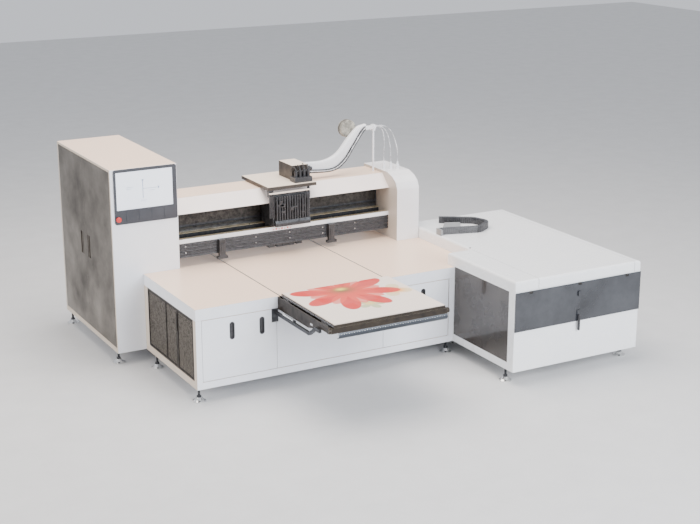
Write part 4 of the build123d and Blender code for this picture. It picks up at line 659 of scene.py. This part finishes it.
def oval_cup(x, y, z):
    """Rows of an oval that steps inwards and back: half circles of its half width, set apart."""
    floor, back = PULL_DEPTH, PULL_DEPTH + PULL_WALL
    steps = ((0.0045, 0.0), (0.0045, -0.0015), (0.0, -0.0015), (-0.0004, floor),
             (-PULL_HALF_W, floor), (-PULL_HALF_W, back), (0.0002, back), (0.0002, 0.0), (0.0045, 0.0))
    a = np.linspace(0, 2 * np.pi, PULL_SIDES, endpoint=False)
    straight = PULL_HALF_H - PULL_HALF_W
    rows = [np.stack([x + (PULL_HALF_W + s) * np.cos(a), np.full(PULL_SIDES, y + d),
                      z + (PULL_HALF_W + s) * np.sin(a) + straight * np.sign(np.sin(a) + 1e-9)], -1)
            for s, d in steps]
    return np.array(rows), grid_faces(len(steps), PULL_SIDES, wrap=True)


for body, places in PULLS.items():
    door_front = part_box("front_" + body)[0][1]
    for number, x in enumerate(places):
        put(f"pull_lining_{body}_{number}", *oval_cup(x, door_front, PULL_Z), black_plastic, body,
            "black_plastic", smooth=False)
print("pull linings:", sum(len(p) for p in PULLS.values()))


# %% [markdown]
# ## Gantry
# The guard in front of the beam is a ribbed black extrusion with a row of screws, and the white strip
# above it carries a few small red marks.

# %% Gantry
guard_low, guard_high = (np.array(c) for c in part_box("guard_beam"))
strip_low = np.array(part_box("guard_strip")[0])
RIB_ZS, RIB_PROUD, RIB_TALL = (0.822, 0.842, 0.868, 0.894, 0.918), 0.0032, 0.007
lows = [(guard_low[0] + 0.004, guard_low[1] - RIB_PROUD, z) for z in RIB_ZS]
highs = [(guard_high[0] - 0.004, guard_low[1], z + RIB_TALL) for z in RIB_ZS]
put("guard_ribs", *blocks(lows, highs), black_metal, "root", "black_metal", bevel=0.002)
SCREW = ((0, 0.0), (0.0052, 0.0), (0.0052, -0.0030), (0.0040, -0.0042), (0, -0.0042))
SCREW_GAP, MARK_GAP = 0.31, 0.026
screw_x = np.arange(guard_low[0] + 0.06, guard_high[0] - 0.02, SCREW_GAP)
places = [(x, guard_low[1], z) for x in screw_x for z in (0.857, 0.907)]
put("guard_screws", *repeated(*turned(SCREW, 10, axis=1), places), rail_steel, "root", "steel_rail",
    smooth=False)
red_mark = finish("red_marks", (0.60, 0.03, 0.05), (0.72, 0.06, 0.08), (0.35, 0.45))
mark_x = -0.462 + np.arange(7) * MARK_GAP
lows = [(x, strip_low[1] - 0.0006, 0.944) for x in mark_x]
highs = [(x + 0.015, strip_low[1] + 0.0002, 0.950 + 0.006 * (i % 2)) for i, x in enumerate(mark_x)]
put("strip_marks", *blocks(lows, highs), red_mark, "root", "red_button")
print("guard screws:", len(places))


# %% [markdown]
# ## Carriage
# The head's front is a heat sink of upright ribs with a few small clips. Above it stand the valves, whose
# short looped tubes run back to the ink box. The carriage has a pale ledge, side fins, a knob and a bracket.

# %% Carriage
head_low, head_high = (np.array(c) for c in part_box("head_body"))
FIN_COUNT, FIN_W, FIN_PROUD = 13, 0.011, 0.010
fin_x = np.linspace(head_low[0] + 0.014, head_high[0] - 0.014 - FIN_W, FIN_COUNT)
lows = [(x, head_low[1] - FIN_PROUD, 1.030) for x in fin_x]
highs = [(x + FIN_W, head_low[1] + 0.001, head_high[2] - 0.010) for x in fin_x]
put("head_fins", *blocks(lows, highs), black_metal, "head", "black_metal", bevel=0.0018)
SKIRT = ((0.0, 0.985), (0.020, 0.985), (0.020, 1.012), (0.012, 1.032), (0.0, 1.036))
xs = np.array((head_low[0] + 0.001, head_high[0] - 0.001))
skirt = np.array([[(x, head_low[1] + 0.001 - d, z) for x in xs] for d, z in SKIRT])
count = len(SKIRT)
ring = np.arange(count)
skirt_faces = np.c_[ring * 2, ring * 2 + 1, (ring + 1) % count * 2 + 1, (ring + 1) % count * 2]
skirt_piece = put("head_skirt", skirt, skirt_faces, black_metal, "head", "black_metal")
work = bmesh.new()
work.from_mesh(skirt_piece.data)
bmesh.ops.holes_fill(work, edges=work.edges, sides=0)
bmesh.ops.recalc_face_normals(work, faces=work.faces)
work.to_mesh(skirt_piece.data)
work.free()

VALVE_XS, VALVE_TOP, VALVE_Y = (-0.229, -0.191, -0.153, -0.115), 1.406, 0.338
VALVE_CAP = ((0, -0.004), (0.011, -0.004), (0.011, 0.008), (0.006, 0.012), (0.006, 0.022), (0, 0.022))
places = [(x, VALVE_Y, VALVE_TOP) for x in VALVE_XS]
put("valve_caps", *repeated(*turned(VALVE_CAP, 16), places), black_plastic, "carriage",
    "black_plastic", smooth=True)
LOOP_ROWS, LOOP_R = 26, 0.0032
t = np.linspace(0, 1, LOOP_ROWS)
for number, x in enumerate(VALVE_XS):
    stop_x, rise = x + 0.012 * (number - 1.5), 0.030 + 0.012 * (number % 3)
    line = np.c_[x + (stop_x - x) * t, VALVE_Y + (0.405 - VALVE_Y) * t,
                 VALVE_TOP + 0.018 + rise * np.sin(np.pi * t) - 0.030 * t]
    put(f"valve_loop_{number}", *pipe(line, LOOP_R, 8), black_plastic, "carriage", "black_plastic",
        smooth=True)

yoke_low, yoke_high = (np.array(c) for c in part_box("carriage_yoke"))
YOKE_FRONT = yoke_low[1]
put("carriage_ledge", *blocks((yoke_low[0] + 0.004, YOKE_FRONT - 0.008, 1.258),
                              (yoke_high[0] - 0.004, YOKE_FRONT + 0.001, 1.270)),
    cream_board, "carriage", "cream_board", bevel=0.001)
side_x = np.arange(6) * 0.0075 + yoke_low[0] + 0.003
put("side_fins", *blocks([(x, YOKE_FRONT - 0.012, 1.060) for x in side_x],
                         [(x + 0.0035, YOKE_FRONT + 0.001, 1.248) for x in side_x]),
    black_metal, "carriage", "black_metal", bevel=0.0008)
KNOB = ((0, 0.0), (0.016, 0.0), (0.016, 0.004), (0.011, 0.006), (0.011, 0.020), (0.008, 0.024), (0, 0.024))
put("side_knob", *repeated(*turned(KNOB, 20, axis=0), [(yoke_high[0] - 0.0005, 0.335, 1.150)]),
    black_plastic, "carriage", "black_plastic")
put("side_bracket", *blocks((yoke_high[0] - 0.0005, 0.300, 1.185), (yoke_high[0] + 0.020, 0.372, 1.240)),
    black_metal, "carriage", "black_metal", bevel=0.002)
CLIPS = 9
chance = np.random.default_rng(11)
spots = np.c_[chance.uniform(head_low[0] + 0.02, head_high[0] - 0.06, CLIPS),
              chance.uniform(1.06, 1.20, CLIPS)]
sizes = np.c_[chance.uniform(0.014, 0.038, CLIPS), chance.uniform(0.008, 0.030, CLIPS)]
front_y, ends = head_low[1] - FIN_PROUD, spots + sizes
lows = np.c_[spots[:, 0], np.full(CLIPS, front_y - 0.004), spots[:, 1]]
highs = np.c_[ends[:, 0], np.full(CLIPS, front_y + 0.003), ends[:, 1]]
put("head_clips", *blocks(lows, highs), black_plastic, "head", "black_plastic", bevel=0.001)
print("head fins:", FIN_COUNT)


# %% [markdown]
# ## Bed edge and grab bar
# The bed plate's side has fine raised lines, the grab bar has a row of small bright domes that paint in a
# dotted highlight, and the right cabinet's lid has one dark plug.

# %% Bed edge and grab bar
bar_low, bar_high = (np.array(c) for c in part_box("grab_bar"))
# Painted highlight: these small bright metal domes stand in for the dotted highlight along the top of the
# bar.
HIGHLIGHT_DOT = ((0, 0.0), (0.0034, 0.0), (0.0028, -0.0016), (0.0012, -0.0024), (0, -0.0026))
HIGHLIGHT_DOT_GAP = 0.021
highlight_dot_x = np.arange(bar_low[0] + 0.02, bar_high[0] - 0.01, HIGHLIGHT_DOT_GAP)
places = [(x, bar_low[1] + 0.0002, bar_high[2] - 0.014) for x in highlight_dot_x]
put("bar_highlight_dots", *repeated(*turned(HIGHLIGHT_DOT, 8, axis=1), places), bright_metal, "root", "bright_metal",
    smooth=True)
plate_low, plate_high = (np.array(c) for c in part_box("bed_plate"))
RIDGE_ZS = (0.7435, 0.7485, 0.7535)
lows = [(plate_low[0] - 0.0016, plate_low[1] + 0.006, z) for z in RIDGE_ZS]
highs = [(plate_low[0], plate_high[1] - 0.006, z + 0.0025) for z in RIDGE_ZS]
put("plate_ridges", *blocks(lows, highs), rail_steel, "bed", "steel_rail", bevel=0.0006)
LID_PLUG = ((0, 0.0), (0.009, 0.0), (0.009, 0.0015), (0.006, 0.0025), (0, 0.0025))
put("lid_plug", *repeated(*turned(LID_PLUG, 16), [(0.880, -0.605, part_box("box_lid")[1][2] - 0.0002)]),
    black_plastic, "root", "black_plastic")
print("highlight_dots:", len(places))


# %% [markdown]
# ## Cable chain
# The chain on the lid is a row of short links. Each link shows as a thin rib across the top and down
# both sides, set along the chain's own bend.

# %% Cable chain
CHAIN_ROUTE = ((0.8955, -0.140), (1.2255, -0.235), (1.3955, -0.125), (1.3355, 0.035), (1.0855, 0.195))
CHAIN_RADII = (0.095, 0.095, 0.080)


def rounded(points, radii, step):
    """Straight runs joined by tangent arcs, as points about one step apart."""
    p = np.array(points, float)
    line, start = [], p[0]
    for corner, radius in zip(range(1, len(p) - 1), radii):
        back, ahead = p[corner - 1] - p[corner], p[corner + 1] - p[corner]
        back, ahead = back / np.linalg.norm(back), ahead / np.linalg.norm(ahead)
        half_angle = np.arccos(back @ ahead) / 2
        first = p[corner] + back * radius / np.tan(half_angle)
        centre = p[corner] + (back + ahead) / np.linalg.norm(back + ahead) * radius / np.sin(half_angle)
        line.append(start + (first - start) * np.linspace(0, 1, 40)[:, None])
        a0, a1 = (first - centre), (p[corner] + ahead * radius / np.tan(half_angle) - centre)
        sweep = np.arctan2(a0[0] * a1[1] - a0[1] * a1[0], a0 @ a1)
        turn = np.linspace(0, sweep, 60)[:, None]
        line.append(centre + a0 * np.cos(turn) + np.array((-a0[1], a0[0])) * np.sin(turn))
        start = line[-1][-1]
    line.append(start + (p[-1] - start) * np.linspace(0, 1, 40)[:, None])
    line = np.concatenate(line)
    gone = np.r_[0, np.cumsum(np.linalg.norm(np.diff(line, axis=0), axis=1))]
    at = np.arange(step / 2, gone[-1], step)
    return np.c_[np.interp(at, gone, line[:, 0]), np.interp(at, gone, line[:, 1])]


chain_low, chain_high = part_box("cable_chain")
LINK_STEP, LINK_HALF_W, LINK_HALF_L, LINK_PROUD = 0.017, 0.0165, 0.0028, 0.0012
path = rounded(CHAIN_ROUTE, CHAIN_RADII, LINK_STEP)
heading = np.gradient(path, axis=0)
heading /= np.linalg.norm(heading, axis=1)[:, None]
sideways = np.c_[-heading[:, 1], heading[:, 0]]
signs = CORNERS * 2 - 1
flat_points = (path[:, None] + signs[None, :, :1] * LINK_HALF_L * heading[:, None]
               + signs[None, :, 1:2] * LINK_HALF_W * sideways[:, None])
top = np.where(signs[:, 2] > 0, chain_high[2] + LINK_PROUD, chain_low[2] + 0.002)
links = np.concatenate([flat_points, np.broadcast_to(top[None, :, None], flat_points.shape[:2] + (1,))], -1)
link_faces = (np.arange(len(path))[:, None, None] * 8 + SIDES[None]).reshape(-1, 4)
put("chain_links", links, link_faces, black_plastic, "root", "black_plastic", bevel=0.0008)
print("chain links:", len(path))


# %% [markdown]
# ## Studio
# A pale floor, a warm lamp overhead and a cool lamp from the front light the white paint; its warm tint on
# faces that look up and its shade on faces that look to -X are also painted into its finishes.

# %% Floor and lights
floor_mesh = bpy.data.meshes.new("studio_floor")
half = 20.0
corners = [(-half, -half, 0), (half, -half, 0), (half, half, 0), (-half, half, 0)]
floor_mesh.from_pydata(corners, [], [(0, 1, 2, 3)])
floor = bpy.data.objects.new("studio_floor", floor_mesh)
scene.collection.objects.link(floor)
floor_mesh.materials.append(finish("pale_floor", (0.62, 0.62, 0.62), (0.66, 0.66, 0.66), (0.6, 0.7)))

world = bpy.data.worlds.new("studio")
scene.world = world
world.use_nodes = True
world.node_tree.nodes["Background"].inputs["Color"].default_value = (0.90, 0.93, 1.0, 1)
world.node_tree.nodes["Background"].inputs["Strength"].default_value = 0.85


def lamp(name, place, aim, size, power, colour):
    """A square area lamp that looks from one point to another."""
    data = bpy.data.lights.new(name, "AREA")
    data.size, data.energy, data.color = size, power, colour
    made = bpy.data.objects.new(name, data)
    made.location = place
    towards = np.array(aim, float) - np.array(place, float)
    made.rotation_euler = (math.atan2(math.hypot(*towards[:2]), -towards[2]), 0,
                           math.atan2(towards[1], towards[0]) - math.pi / 2)
    scene.collection.objects.link(made)


lamp("overhead", (-0.5, 0.5, 6.0), (0, 0, 0.8), 5.0, 560, (1.0, 0.92, 0.84))
lamp("front", (1.5, -8.0, 3.6), (0, 0, 0.8), 4.5, 840, (0.92, 0.95, 1.0))
lamp("left", (-7.5, -1.5, 3.4), (-1.5, 0, 0.8), 3.0, 230, (1.0, 0.93, 0.86))
print("lamps placed")
